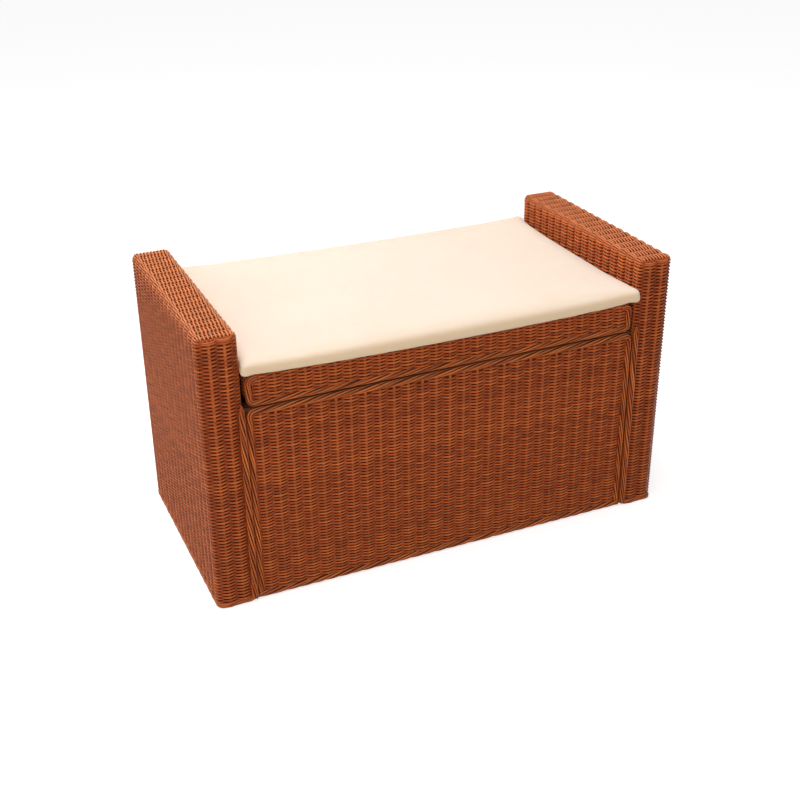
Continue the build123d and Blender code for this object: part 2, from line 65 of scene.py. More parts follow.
# ---- fixed proportions ----------------------------------------------------------------------
CANE_MERGE, SHEET_MERGE = 1e-6, 1e-5    # points nearer than this become one
BAKE_MARGIN = 0.04                      # share of a cane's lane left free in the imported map
SLOW_WAVER = (9.0, 0.05)                # a row's waver: turns per metre, and per row
QUICK_WAVER = (31.0, 0.41)
QUICK_SHARE = 0.3                       # the quick waver's share of the slow one
RING_WAVER = 0.2                        # a ring's waver is read on a circle of this radius
CANE_SPREAD, TOP_SPREAD = 1.12, 1.3     # how much wider than deep a woven cane is
STAKE_SIDES, BINDING_SIDES = 8, 6       # flats round a stake, and round a bound cane
# crests given to stakes, lid end stakes and bound canes; the lower the crest, the more painted
# shade their material may lay on them
STAKE_CREST, END_STAKE_CREST, BINDING_CREST = 0.5, 0.2, 0.8
STAKE_BEND_STEP = 0.003                 # length of one division round a stake's bends
BEND_PARTS = 6                          # divisions of a border's corner
CORE_THICKNESS = 0.0003
CORE_NOSE = 0.0005                      # rounding of an arm's core where its ends meet its top
CORE_COLUMNS = 96                       # divisions of an arm's core round the arm
PANEL_PAST = 0.002                      # how far a panel's canes run into its borders
TOP_INSET, TOP_FOOT = 0.0006, 0.007     # an arm's top canes: in from its ends, and down them
CANE_VARIES = 0.05                      # how much one woven cane's thickness differs, a share
LOWEST = 0.6                            # a ring's middle stays this many canes off the floor
BAND_WAVER, BAND_SWELL = 0.35, 0.08     # how a bound cane strays round its band, and out of it
TIP = 0.35                              # a bound cane's thickness at a braid's point, a share
POLE_INSET = 0.8                        # from a band's surface to its pole, in bound canes
MIN_POLE = 0.0004                       # radius of the thinnest pole inside a bound edge
PLY_PAIR = 0.003                        # thickness of two plies of the plywood
EDGE_INSET = 0.001                      # from the lid's edge to the bound cane along it
FOOT_OVERLAP = 0.6                      # share of an arm's foot that a braid starts above


def srgb(red, green, blue):
    """A colour as a colour picker shows it, 0 to 255, made linear for the shaders."""
    shares = (channel / 255 for channel in (red, green, blue))
    return tuple(s / 12.92 if s <= 0.04045 else ((s + 0.055) / 1.055) ** 2.4 for s in shares)


def length(name, description, default):
    """A property for a size in metres."""
    return FloatProperty(name=name, description=description, default=default, min=0.0,
                         precision=4, unit="LENGTH", subtype="DISTANCE")


def amount(name, description, default, subtype="NONE"):
    """A property for a number that is never negative."""
    return FloatProperty(name=name, description=description, default=default, min=0.0,
                         subtype=subtype)


def angle(name, description, degrees):
    """A property for an angle."""
    return FloatProperty(name=name, description=description, default=radians(degrees),
                         subtype="ANGLE", unit="ROTATION")


def whole(name, description, default, least):
    """A property for a whole number."""
    return IntProperty(name=name, description=description, default=default, min=least)


def colour(name, description, *channels):
    """A property for a colour, given from 0 to 255."""
    return FloatVectorProperty(name=name, description=description, default=srgb(*channels),
                               size=3, min=0.0, max=1.0, subtype="COLOR")


# ---- what a user would change ---------------------------------------------------------------
class BenchWeave(bpy.types.PropertyGroup):
    cane: length("Cane diameter", "Fine canes woven round the stakes", 0.0031)
    stake: length("Stake diameter", "Upright canes that the weave passes over", 0.0054)
    panel_row: length("Panel row", "From one woven cane to the next on the panels and lid", 0.00307)
    arm_row: length("Arm row", "From one woven cane to the next on the arms", 0.00327)
    panel_stakes: whole("Panel stakes", "Stakes across a panel and across the lid", 27, 2)
    arm_stakes: whole("Arm stakes", "Stakes round an arm, an even number", 38, 6)
    lid_end_stakes: whole("Lid end stakes", "Stakes along each end of the lid", 15, 2)
    arm_corner: length("Arm corner radius", "Upright corners of an arm, over the weave", 0.015)
    arm_shoulder: length("Arm shoulder radius", "Where an arm's sides meet its top", 0.0125)
    arm_nose: length("Arm nose radius", "Where an arm's ends meet its top", 0.008)
    lid_shoulder: length("Lid shoulder radius", "Where the lid's front meets its top", 0.014)
    steps: whole("Steps per stake", "Divisions of a woven cane between two stakes", 4, 2)
    sides: whole("Sides of a cane", "Flats round a woven cane", 6, 3)
    wander: length("Wander", "How far a row strays up and down", 0.0006)
    core_depth: length("Core depth", "How deep in an arm's weave its shade begins", 0.0016)


class BenchBinding(bpy.types.PropertyGroup):
    cane: length("Binding cane", "Canes bound along the edges", 0.0037)
    foot_height: length("Foot height", "The border round an arm's lower edge", 0.0095)
    foot_thickness: length("Foot thickness", "How deep that border is", 0.0080)
    count: whole("Canes in a band", "Canes side by side round a band", 6, 3)
    lay: length("Lay", "Length in which a band's canes turn once round it", 0.150)
    bend: length("Corner bend", "Centreline radius of the borders' corners", 0.009)
    step: length("Step", "Length of one division along a band", 0.005)
    point: length("Braid point", "Length over which a corner braid is drawn to a point", 0.016)


class BenchColours(bpy.types.PropertyGroup):
    cane_light: colour("Light cane", "Where the stain is thinnest", 236, 124, 50)
    cane_mid: colour("Cane", "The weave's own colour", 198, 88, 28)
    cane_dark: colour("Dark cane", "Where the stain is deepest", 136, 52, 8)
    binding_light: colour("Light binding", "Pale canes in the bound edges", 240, 132, 58)
    binding_dark: colour("Dark binding", "Dark canes in the bound edges", 152, 62, 18)
    # also the painted light on the shade sheet where it faces up
    stake: colour("Stake", "Stakes behind the weave", 214, 112, 54)
    pole_light: colour("Pole", "Poles inside the arms", 206, 158, 104)
    pole_dark: colour("Pole joints", "Rings along the poles", 132, 86, 46)
    timber_light: colour("Timber", "Rails and slats", 134, 80, 44)
    timber_dark: colour("Timber grain", "Late wood in rails and slats", 92, 50, 26)
    cloth: colour("Cushion cloth", "Unbleached cotton of the cover", 247, 227, 208)
    cloth_shade: colour("Cushion thread", "Darker threads of the cover", 238, 214, 192)
    # painted light: a warmer colour laid where the cushion faces sideways or down
    cloth_side_light: colour("Cushion side", "The cover where it faces sideways", 255, 222, 186)
    steel: colour("Hinge steel", "Zinc-plated hinges and screws", 188, 184, 174)
    # painted highlight colour, laid on cane where it faces up and in sparse flecks along its grain
    cane_highlight: colour("Cane highlight", "Cane that faces up", 222, 162, 116)
    core: colour("Core", "The shade between the woven canes", 150, 62, 20)
    floor: colour("Floor", "Studio floor and backdrop", 222, 222, 222)


class BenchCushion(bpy.types.PropertyGroup):
    voxel: length("Voxel", "Size of the mesh that the cloth is simulated on", 0.006)
    inset: length("Inset", "How much smaller the cushion starts than it ends", 0.003)
    puff: length("Puff", "Furthest that the cloth may swell", 0.005)
    pressure: amount("Pressure", "How hard the filling pushes the cloth out", 4.0)
    frames: whole("Frames", "Steps of the simulation", 20, 2)
    corner: length("Corner", "How near to an upright corner the cloth is drawn out", 0.022)
    lower_edge: length("Lower edge", "How near to its lower edge the cloth is drawn out", 0.016)
    waist: length("Waist", "How far the back pulls in between its corners", 0.002)
    droop: length("Droop", "How far the front's lower edge hangs between its corners", 0.0062)
    lift: length("Lift", "How far the front's lower corners ride up", 0.0065)
    roll: length("Roll", "How far the top falls away towards the front", 0.005)
    roll_reach: length("Roll reach", "How far from the front the top begins to fall", 0.050)
    heave: length("Heave", "How far the left back corner rides up", 0.005)
    stand: length("Stand", "How far the back stands proud", 0.005)


class BenchStudio(bpy.types.PropertyGroup):
    camera_place: FloatVectorProperty(name="Camera place", size=3, unit="LENGTH",
                                      subtype="TRANSLATION", default=(-0.8755, -1.9895, 1.3275),
                                      description="Where the camera stands")
    heading: angle("Heading", "Camera turned from +Y towards +X", 23.69)
    tilt: angle("Tilt", "Camera turned down from the level", 27.016)
    roll: angle("Roll", "Camera turned about its own line of sight", -0.543)
    lens: FloatProperty(name="Lens", default=55.15, min=1.0, subtype="DISTANCE_CAMERA",
                        unit="CAMERA", description="Focal length on a 36 mm wide sensor")
    key: amount("Key light", "Power of the broad light overhead", 44.5, "POWER")
    fill: amount("Fill light", "Power of the light beside the camera", 26.0, "POWER")
    side: amount("Side light", "Power of the light beyond the left arm", 11.0, "POWER")
    sky: amount("Sky", "Strength of the light from all round", 0.36)


# ---- small helpers --------------------------------------------------------------------------
def mesh_object(bm, name):
    """Put a finished mesh in the scene as an object at the origin."""
    mesh = bpy.data.meshes.new(name)
    bm.to_mesh(mesh)
    bm.free()
    made = bpy.data.objects.new(name, mesh)
    bpy.context.scene.collection.objects.link(made)
    return made


def hand_over(piece, body, material, replaced=()):
    """Dress a finished piece, hang it on the body that it rides on, and hide the parts that it
    stands for.
    """
    piece.data.materials.append(material)
    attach(piece, body)
    if replaced:
        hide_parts(*replaced)


def middle(box, axis):
    """The middle of a node's box along one axis."""
    return (box[0][axis] + box[1][axis]) / 2


def stray(run, row, seed, reach):
    """How far a woven row strays at a distance along it: a slow, handmade waver."""
    slow = noise.noise(Vector((run * SLOW_WAVER[0], row * SLOW_WAVER[1], seed)))
    quick = noise.noise(Vector((run * QUICK_WAVER[0], row * QUICK_WAVER[1], seed + 50.0)))
    return reach * (slow + QUICK_SHARE * quick)


# ---- canes ----------------------------------------------------------------------------------
class CaneSet:
    """Round canes gathered into one mesh. Each cane is a grid rolled up along its own line, and
    becomes one row of the mesh's bake map."""

    def __init__(self, sides):
        self.sides = sides
        self.bm = bmesh.new()
        self.bm.loops.layers.uv.new("Cane")
        self.lane = self.bm.verts.layers.int.new("lane")
        self.crest = self.bm.verts.layers.float.new("crest")
        self.lengths = []

    def add(self, line, radius, closed=False, spread=1.0):
        """Add a cane along a line of (place, outward, crest); radius is a number, or one per
        place, and spread how much wider than deep the cane is. The seam lies on the inward
        side."""
        count = len(line)
        radii = list(radius) if hasattr(radius, "__len__") else [radius] * count
        rings = []
        for index, (place, outward, crest) in enumerate(line):
            before = index - 1 if index else (count - 2 if closed else 0)
            after = index + 1 if index < count - 1 else (1 if closed else count - 1)
            along = (line[after][0] - line[before][0]).normalized()
            up = (outward - along * outward.dot(along)).normalized()
            rings.append((place, up, up.cross(along), radii[index], crest))
        self.lengths.append(sum((line[i + 1][0] - line[i][0]).length for i in range(count - 1)))
        if not closed:
            first, last = rings[0], rings[-1]
            rings.insert(0, first[:3] + (0.0, first[4]))
            rings.append(last[:3] + (0.0, last[4]))
        columns = len(rings)
        grid = bmesh.ops.create_grid(self.bm, x_segments=columns - 1, y_segments=self.sides,
                                     size=1.0, calc_uvs=True)
        turns = [(cos(tau * i / self.sides), sin(tau * i / self.sides))
                 for i in range(self.sides + 1)]
        number = len(self.lengths) - 1
        for index, vert in enumerate(grid["verts"]):
            place, up, across, thick, crest = rings[index % columns]
            turn = turns[index // columns]
            vert.co = place - (up * turn[0] + across * (spread * turn[1])) * thick
            vert[self.lane] = number
            vert[self.crest] = crest

    def finish(self, name):
        """Close the canes' seams and ends and make their piece, with a map in metres along each
        cane for its grain and a packed one for baking."""
        bmesh.ops.remove_doubles(self.bm, verts=self.bm.verts, dist=CANE_MERGE)
        piece = mesh_object(self.bm, name)
        mesh = piece.data
        mesh.shade_smooth()

        corners = np.empty(len(mesh.loops), np.int32)
        mesh.loops.foreach_get("vertex_index", corners)
        lanes = np.empty(len(mesh.vertices), np.int32)
        mesh.attributes["lane"].data.foreach_get("value", lanes)
        lane = lanes[corners]
        flat = np.empty(2 * len(mesh.loops), np.float32)
        mesh.uv_layers["Cane"].data.foreach_get("uv", flat)
        along, around = flat[0::2].copy(), flat[1::2].copy()

        flat[0::2] = along * np.array(self.lengths, np.float32)[lane]
        flat[1::2] = lane + around
        mesh.uv_layers["Cane"].data.foreach_set("uv", flat)
        packed = mesh.uv_layers.new(name="OFBake")
        flat[0::2] = along
        flat[1::2] = (lane + BAKE_MARGIN + (1 - 2 * BAKE_MARGIN) * around) / len(self.lengths)
        packed.data.foreach_set("uv", flat)
        return piece


class Arch:
    """A path in an upright plane: up, round a bend, level, round a bend and down. Distances run
    from the foot on the low side."""

    def __init__(self, centre, half_span, foot, crown, bend):
        self.centre = centre
        self.half_span = half_span
        self.foot = foot
        self.crown = crown
        self.bend = bend
        self.limb = crown - bend - foot
        self.quarter = bend * pi / 2
        self.length = 2 * (self.limb + self.quarter + half_span - bend)

    def at(self, run):
        """The place across and up, and the outward direction, at a distance along the arch."""
        side = -1
        if run > self.length / 2:
            run = self.length - run
            side = 1
        if run <= self.limb:
            return self.centre + side * self.half_span, self.foot + run, side, 0.0
        level = self.half_span - self.bend
        if run <= self.limb + self.quarter:
            turn = (run - self.limb) / self.bend
            return (self.centre + side * (level + self.bend * cos(turn)),
                    self.foot + self.limb + self.bend * sin(turn), side * cos(turn), sin(turn))
        return self.centre + side * (level + self.limb + self.quarter - run), self.crown, 0.0, 1.0

    def stations(self, step, bend_step):
        """Distances along the arch, close together round its bends."""
        marks = [0.0, self.limb, self.limb + self.quarter]
        marks += [self.length - mark for mark in reversed(marks)]
        found = [0.0]
        for index, (low, high) in enumerate(zip(marks, marks[1:])):
            size = bend_step if index in (1, 3) else step
            parts = max(1, round((high - low) / size))
            found += [low + (high - low) * (part + 1) / parts for part in range(parts)]
        return found

    def rows(self, pitch, outside):
        """Distances of woven rows from foot to foot, closer together round the bends so that
        they stay packed at the given distance outside the path."""
        bent = self.bend + outside
        stretched = bent * pi / 2
        half = self.length / 2 - self.quarter + stretched
        count = round(half / pitch)
        found = []
        for row in range(count):
            run = (row + 0.5) * half / count
            round_bend = min(max(run - self.limb, 0.0), stretched)
            found.append(run - round_bend * (1.0 - self.bend / bent))
        return found + [self.length - run for run in reversed(found)]



def cane_radius(weave, row, seed):
    """A woven cane's radius: no two canes are quite alike."""
    return weave.cane / 2 * (1.0 + CANE_VARIES * noise.noise(Vector((row * 3.7, seed, 0.5))))


def crest_of(weave):
    """From a stake's middle to the outside of the weave over it."""
    return weave.stake / 2 + weave.cane


def rise_of(weave):
    """From a stake's middle plane to a woven cane's own middle where it crosses that stake."""
    return weave.stake / 2 + weave.cane / 2


def woven_row(canes, weave, row, seed, base, runs, wave, closed=False, spread=CANE_SPREAD):
    """Weave one cane: base gives its middle place and outward direction at a distance, and wave
    how far it stands out, from -1 behind a stake to 1 in front of one. The next row goes the
    other way."""
    turn = 1 if row % 2 else -1
    line = []
    for run in runs:
        place, outward = base(run)
        height = turn * wave(run)
        # the crest, from 0 behind a stake to 1 in front, sets how much painted shade the cane gets
        # in its dips
        line.append((place + outward * (rise_of(weave) * height), outward, 0.5 + 0.5 * height))
    canes.add(line, cane_radius(weave, row, seed), closed, spread)


def straight_rows(canes, weave, heights, first, span, stakes, base, seed, past=0.0):
    """Weave straight rows, one for each height. base gives the place and the outward direction
    from a row's number, its height and a distance; the canes may run past the span's ends."""
    low, high = span
    pitch = (high - low) / stakes
    parts = stakes * weave.steps
    start, reach = low - past, high - low + 2 * past
    runs = [start + reach * part / parts for part in range(parts + 1)]
    for row, height in enumerate(heights, first):
        woven_row(canes, weave, row, seed, lambda run: base(row, height, run), runs,
                  lambda run: sin(pi * (run - low) / pitch))


def upright_stake(canes, weave, foot, top, outward, crest=STAKE_CREST):
    """Add a straight stake."""
    canes.add([(foot, outward, crest), (top, outward, crest)], weave.stake / 2)


def bent_stake(canes, weave, arch, step, origin, axis):
    """Add a stake bent over an arch that stands in the plane of an axis and Z."""
    line = []
    for run in arch.stations(step, STAKE_BEND_STEP):
        across, up, lean, lift = arch.at(run)
        line.append((origin + axis * across + Z * up, axis * lean + Z * lift, STAKE_CREST))
    canes.add(line, weave.stake / 2)


def core_sheet(name, columns, rows, place):
    """A thin sheet inside the weave, which stands for the shade between the canes; place gives
    a point from a column and a row."""
    bm = bmesh.new()
    grid = bmesh.ops.create_grid(bm, x_segments=columns, y_segments=rows, size=1.0)
    for index, vert in enumerate(grid["verts"]):
        vert.co = place(index % (columns + 1), index // (columns + 1))
    bmesh.ops.remove_doubles(bm, verts=bm.verts, dist=SHEET_MERGE)
    bmesh.ops.recalc_face_normals(bm, faces=bm.faces)
    bmesh.ops.solidify(bm, geom=bm.faces[:], thickness=CORE_THICKNESS)
    return mesh_object(bm, name)


# ---- flat walls -----------------------------------------------------------------------------
class Wall:
    """A flat, upright woven wall: its rows run along one axis, it faces another, and side says
    whether it faces that one's high side (1) or its low side (-1)."""

    def __init__(self, weave, along, facing, side, plane, span, heights, stakes):
        self.weave = weave
        self.along = along
        self.side = side
        self.outward = facing * side
        self.origin = facing * plane
        self.span = span
        self.foot, self.top = heights
        self.stakes = stakes

    def at(self, run, height):
        """The place at a distance along the wall and a height."""
        return self.origin + self.along * run + Z * height

    def add_rows(self, canes, seed, wander, past=0.0):
        """Add the wall's woven canes."""
        pitch = self.weave.panel_row
        rows = int((self.top - self.foot) / pitch)
        heights = [self.foot + (row + 0.5) * pitch for row in range(rows)]

        def base(row, height, run):
            return self.at(run, height + stray(run, row, seed, wander)), self.outward

        straight_rows(canes, self.weave, heights, 0, self.span, self.stakes, base,
                      self.side, past)

    def add_stakes(self, canes, crest):
        """Add the wall's stakes."""
        low, high = self.span
        for index in range(self.stakes):
            run = low + (index + 0.5) * (high - low) / self.stakes
            upright_stake(canes, self.weave, self.at(run, self.foot), self.at(run, self.top),
                          self.outward, crest)

    def core(self, name):
        """The shade behind the wall's canes."""
        return core_sheet(name, 1, 1, lambda column, row: self.at(
            self.span[column], (self.foot, self.top)[row]))


def panel_wall(weave, name, side):
    """The wall of a panel; side is -1 for the front and 1 for the back."""
    low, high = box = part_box(f"{name}_panel_weave")
    return Wall(weave, X, Y, side, middle(box, 1), (-high[0], high[0]), (low[2], high[2]),
                weave.panel_stakes)


def lid_end_wall(weave, name, side):
    """The short wall at one end of the lid."""
    low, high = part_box(f"lid_{name}_border")
    crest = crest_of(weave)
    return Wall(weave, Y, X, side, side * (LID_BOX[1][0] - crest), (low[1], high[1]),
                (high[2], LID_BOX[1][2] - 2 * crest), weave.lid_end_stakes)


# ---- arms -----------------------------------------------------------------------------------
def round_length(half_x, half_y, corner):
    """The length of a rounded rectangle."""
    return 4 * (half_x + half_y - 2 * corner) + tau * corner


def round_arm(run, half_x, half_y, corner):
    """A place on the rounded rectangle round an arm and its outward direction. The distance
    runs from the front's middle towards +X."""
    total = round_length(half_x, half_y, corner)
    run %= total
    side = 1 if run <= total / 2 else -1
    run = min(run, total - run)
    end = -1 if run <= total / 4 else 1
    run = min(run, total / 2 - run)
    level = half_x - corner
    if run <= level:
        return Vector((side * run, end * half_y, 0)), Vector((0, end, 0))
    turn = (run - level) / corner
    if turn <= pi / 2:
        outward = Vector((side * sin(turn), end * cos(turn), 0))
        return Vector((side * level, end * (half_y - corner), 0)) + corner * outward, outward
    back = half_y - corner - (run - level - corner * pi / 2)
    return Vector((side * half_x, end * back, 0)), Vector((side, 0, 0))


def arm_layout(weave):
    """The arm's stake path: its half sizes and corner, the arch of its side stakes, and how
    long one stake's share of a round is."""
    crest = crest_of(weave)
    half_x = (ARM_BOX[1][0] - ARM_BOX[0][0]) / 2 - crest
    half_y = (ARM_BOX[1][1] - ARM_BOX[0][1]) / 2 - crest
    corner = weave.arm_corner - crest
    arch = Arch(0.0, half_x, ARM_BOX[0][2], ARM_BOX[1][2] - crest, weave.arm_shoulder - crest)
    return half_x, half_y, corner, arch, round_length(half_x, half_y, corner) / weave.arm_stakes


def arm_rows(weave):
    """The rows that go right round an arm, as distances up its arch, and the rows that run
    along its top, as distances from one foot of its arch."""
    arch = arm_layout(weave)[3]
    rows = arch.rows(weave.arm_row, 2 * rise_of(weave))
    ring_top = arch.crown - (weave.arm_nose - crest_of(weave)) * 0.9
    rings = [run for run in rows[:len(rows) // 2] if arch.at(run)[1] <= ring_top]
    return rings, rows[len(rings):-len(rings)]


def arm_core(weave, centre, name):
    """The shade behind an arm's canes: a shell round its sides, ends and top."""
    half_x, half_y, corner, outer, _ = arm_layout(weave)
    deep = weave.core_depth
    half_x, half_y, corner = half_x - deep, half_y - deep, corner - deep
    arch = Arch(0.0, half_x, outer.foot, outer.crown - deep, outer.bend - deep)
    heights = [run for run in arch.stations(0.2, 0.0015) if run <= arch.length / 2]
    heights.append(arch.length / 2)

    def place(column, row):
        across, up, _, _ = arch.at(heights[row])
        reach = abs(across)
        bent = max(0.0, up - (arch.crown - CORE_NOSE))
        end = half_y - CORE_NOSE + sqrt(max(0.0, CORE_NOSE ** 2 - bent ** 2))
        bend = min(corner, reach + 1e-6)
        run = round_length(reach, end, bend) * column / CORE_COLUMNS
        return round_arm(run, reach, end, bend)[0] + Vector((centre, 0, up))

    return core_sheet(name, CORE_COLUMNS, len(heights) - 1, place)


def arm_rings(weave, centre, rings, first, name, seed):
    """Canes woven right round an arm, from one row to another."""
    _, half_y, corner, arch, _ = arm_layout(weave)
    canes = CaneSet(weave.sides)
    parts = weave.arm_stakes * weave.steps
    for row, height in enumerate(rings, first):
        across, up, lean, lift = arch.at(height)
        reach = abs(across)
        total = round_length(reach, half_y, corner)
        runs = [total * part / parts for part in range(parts + 1)]

        def base(run):
            place, facing = round_arm(run, reach, half_y, corner)
            outward = Vector((facing.x * abs(lean), facing.y, abs(facing.x) * lift)).normalized()
            waver = sum(stray(turned(tau * run / total) * RING_WAVER, row, number, weave.wander)
                        for turned, number in ((sin, seed), (cos, seed + 9.0)))
            return place + Vector((centre, 0, max(weave.cane * LOWEST, up + 0.5 * waver))), outward

        woven_row(canes, weave, row, seed, base, runs,
                  lambda run: sin(pi * run * weave.arm_stakes / total), closed=True)
    return canes.finish(name)


def arm_top_canes(weave, centre, rows, first, name, seed):
    """Canes woven along the top of an arm, bent down over its ends."""
    half_x, half_y, corner, arch, pitch = arm_layout(weave)
    canes = CaneSet(weave.sides)
    for row, height in enumerate(rows, first):
        across, up, lean, lift = arch.at(height)
        past = max(0.0, abs(across) - (half_x - corner))
        reach = half_y - corner + sqrt(corner ** 2 - past ** 2)
        along = Arch(0.0, reach - TOP_INSET, up - TOP_FOOT, up, weave.arm_nose - crest_of(weave))
        drop = along.limb + along.quarter
        level = along.length - 2 * drop
        parts = round(level / pitch * weave.steps)
        runs = [0.0, along.limb] + [along.limb + along.quarter * part / 3 for part in (1, 2)]
        runs += [drop + level * part / parts for part in range(parts + 1)]
        runs += [along.length - run for run in reversed(runs[:4])]

        def base(run):
            y, z, out_y, out_z = along.at(run)
            outward = Vector((lean * out_z, out_y, lift * out_z)).normalized()
            waver = stray(y, row, seed + 20.0, weave.wander)
            return Vector((centre + across + lift * waver, y, z)), outward

        def wave(run):
            share = max(0.0, min(run, along.length - run) - along.limb) / along.quarter
            return min(1.0, share) * sin(pi * (along.at(run)[0] / pitch + 0.5))

        woven_row(canes, weave, row, seed, base, runs, wave, spread=TOP_SPREAD)
    return canes.finish(name)


def arm_stake_canes(weave, centre, name):
    """The stakes of an arm: hoops up one side, over the top and down the other, and uprights in
    the ends."""
    half_x, half_y, corner, arch, pitch = arm_layout(weave)
    canes = CaneSet(STAKE_SIDES)
    for index in range(weave.arm_stakes // 2):
        place, outward = round_arm((index + 0.5) * pitch, half_x, half_y, corner)
        if abs(outward.y) < 0.5:
            bent_stake(canes, weave, arch, 0.1, Vector((centre, place.y, 0)), X)
    top = arch.crown - weave.stake / 2
    for run in (0.5 * pitch, -0.5 * pitch):
        for end in (-1, 1):
            place, _ = round_arm(run, half_x, half_y, corner)
            x, y = centre + place.x, -end * place.y
            upright_stake(canes, weave, Vector((x, y, ARM_BOX[0][2])), Vector((x, y, top)), Y * end)
    return canes.finish(name)


def arm_foot_line(weave, binding, centre):
    """The line of the border that closes an arm's weave along the floor."""
    half_x, half_y, corner, _, _ = arm_layout(weave)
    proud = crest_of(weave) - binding.foot_thickness / 2
    half_x, half_y, corner = half_x + proud, half_y + proud, corner + proud
    total = round_length(half_x, half_y, corner)
    parts = round(total / binding.step)
    origin = Vector((centre, 0, binding.foot_height / 2))
    return [round_arm(total * (0.5 + part / parts), half_x, half_y, corner)[0] + origin
            for part in range(parts + 1)]


# ---- lid ------------------------------------------------------------------------------------
def lid_arch(weave):
    """The path of the lid's stakes, up its front, over its top and down its back."""
    crest = crest_of(weave)
    half_span = (LID_BOX[1][1] - LID_BOX[0][1]) / 2 - crest
    return Arch(middle(LID_BOX, 1), half_span, LID_BOX[0][2], LID_BOX[1][2] - crest,
                weave.lid_shoulder - crest)


def lid_canes(weave, name, rows, first, half):
    """Canes woven along the lid, for some of its rows."""
    arch = lid_arch(weave)
    canes = CaneSet(weave.sides)

    def base(row, height, run):
        across, up, lean, lift = arch.at(height)
        waver = Vector((0, lift, -lean)) * stray(run, row, LID_SEED, weave.wander)
        return Vector((run, across, up)) + waver, Vector((0, lean, lift))

    straight_rows(canes, weave, rows, first, (-half, half), weave.panel_stakes, base, LID_SEED)
    return canes.finish(name)


def lid_core(weave, half):
    """The shade behind the lid's canes, over its front, top and back."""
    arch = lid_arch(weave)
    heights = arch.stations(0.5, 0.002)
    return core_sheet("lid_core", 1, len(heights) - 1, lambda column, row: Vector(
        ((-half, half)[column], *arch.at(heights[row])[:2])))


def lid_stakes(weave, half):
    """The lid's stakes."""
    canes = CaneSet(STAKE_SIDES)
    for index in range(weave.panel_stakes):
        x = -half + (index + 0.5) * 2 * half / weave.panel_stakes
        bent_stake(canes, weave, lid_arch(weave), 0.25, X * x, Y)
    return canes.finish("lid_stakes")


# ---- bound edges ----------------------------------------------------------------------------
def run_between(start, end, step):
    """Even places from start to end."""
    start, end = Vector(start), Vector(end)
    parts = max(1, round((end - start).length / step))
    return [start.lerp(end, part / parts) for part in range(parts + 1)]


def rounded_line(points, bend, step):
    """Places close together along a line of straight runs, rounded where it turns."""
    points = [Vector(point) for point in points]
    found = [points[0]]
    for before, corner, after in zip(points, points[1:], points[2:]):
        inward = (before - corner).normalized()
        onward = (after - corner).normalized()
        found += run_between(found.pop(), corner + inward * bend, step)
        centre = corner + (inward + onward) * bend
        for part in range(1, BEND_PARTS + 1):
            turn = pi / 2 * part / BEND_PARTS
            found.append(centre - onward * (bend * cos(turn)) - inward * (bend * sin(turn)))
    return found + run_between(found.pop(), points[-1], step)


def twisted_band(canes, places, runs, shares, outward, width, depth, binding, seed):
    """Lay canes side by side round a line so that together they turn slowly about it. The band
    is so wide and so deep, and has a share of that at each place."""
    radius = binding.cane / 2
    last = len(places) - 1
    for cane in range(binding.count):
        line = []
        for index, (place, run, share) in enumerate(zip(places, runs, shares)):
            along = (places[min(index + 1, last)] - places[max(index - 1, 0)]).normalized()
            waver = BAND_WAVER * noise.noise(Vector((run * 14.0, cane * 5.3, seed)))
            swell = BAND_SWELL * noise.noise(Vector((run * 25.0, cane * 3.1, seed + 5.0)))
            turn = tau * (cane / binding.count + run / binding.lay) + waver
            side = (along.cross(outward) * cos(turn) * (width / 2 - radius)
                    + outward * sin(turn) * (depth / 2 - radius))
            line.append((place + side * share * (1.0 + swell), side.normalized(), BINDING_CREST))
        canes.add(line, [radius * (TIP + (1.0 - TIP) * share) for share in shares])


def bound_edge(binding, name, places, outward, width, depth, seed, point=0.0):
    """One bound edge: its canes, and the pole that they are bound round. It may be drawn to a
    point over a length at its end."""
    runs = [0.0]
    for before, after in zip(places, places[1:]):
        runs.append(runs[-1] + (after - before).length)
    shares = [min(1.0, (runs[-1] - run) / point) if point else 1.0 for run in runs]
    canes = CaneSet(BINDING_SIDES)
    twisted_band(canes, places, runs, shares, outward, width, depth, binding, seed)
    pole = min(width, depth) / 2 - POLE_INSET * binding.cane
    # the pole's crest of 0 gives it the deepest painted shade of the bound canes
    canes.add([(place, outward, 0.0) for place in places],
              [max(MIN_POLE, pole * share) for share in shares])
    return canes.finish(name)


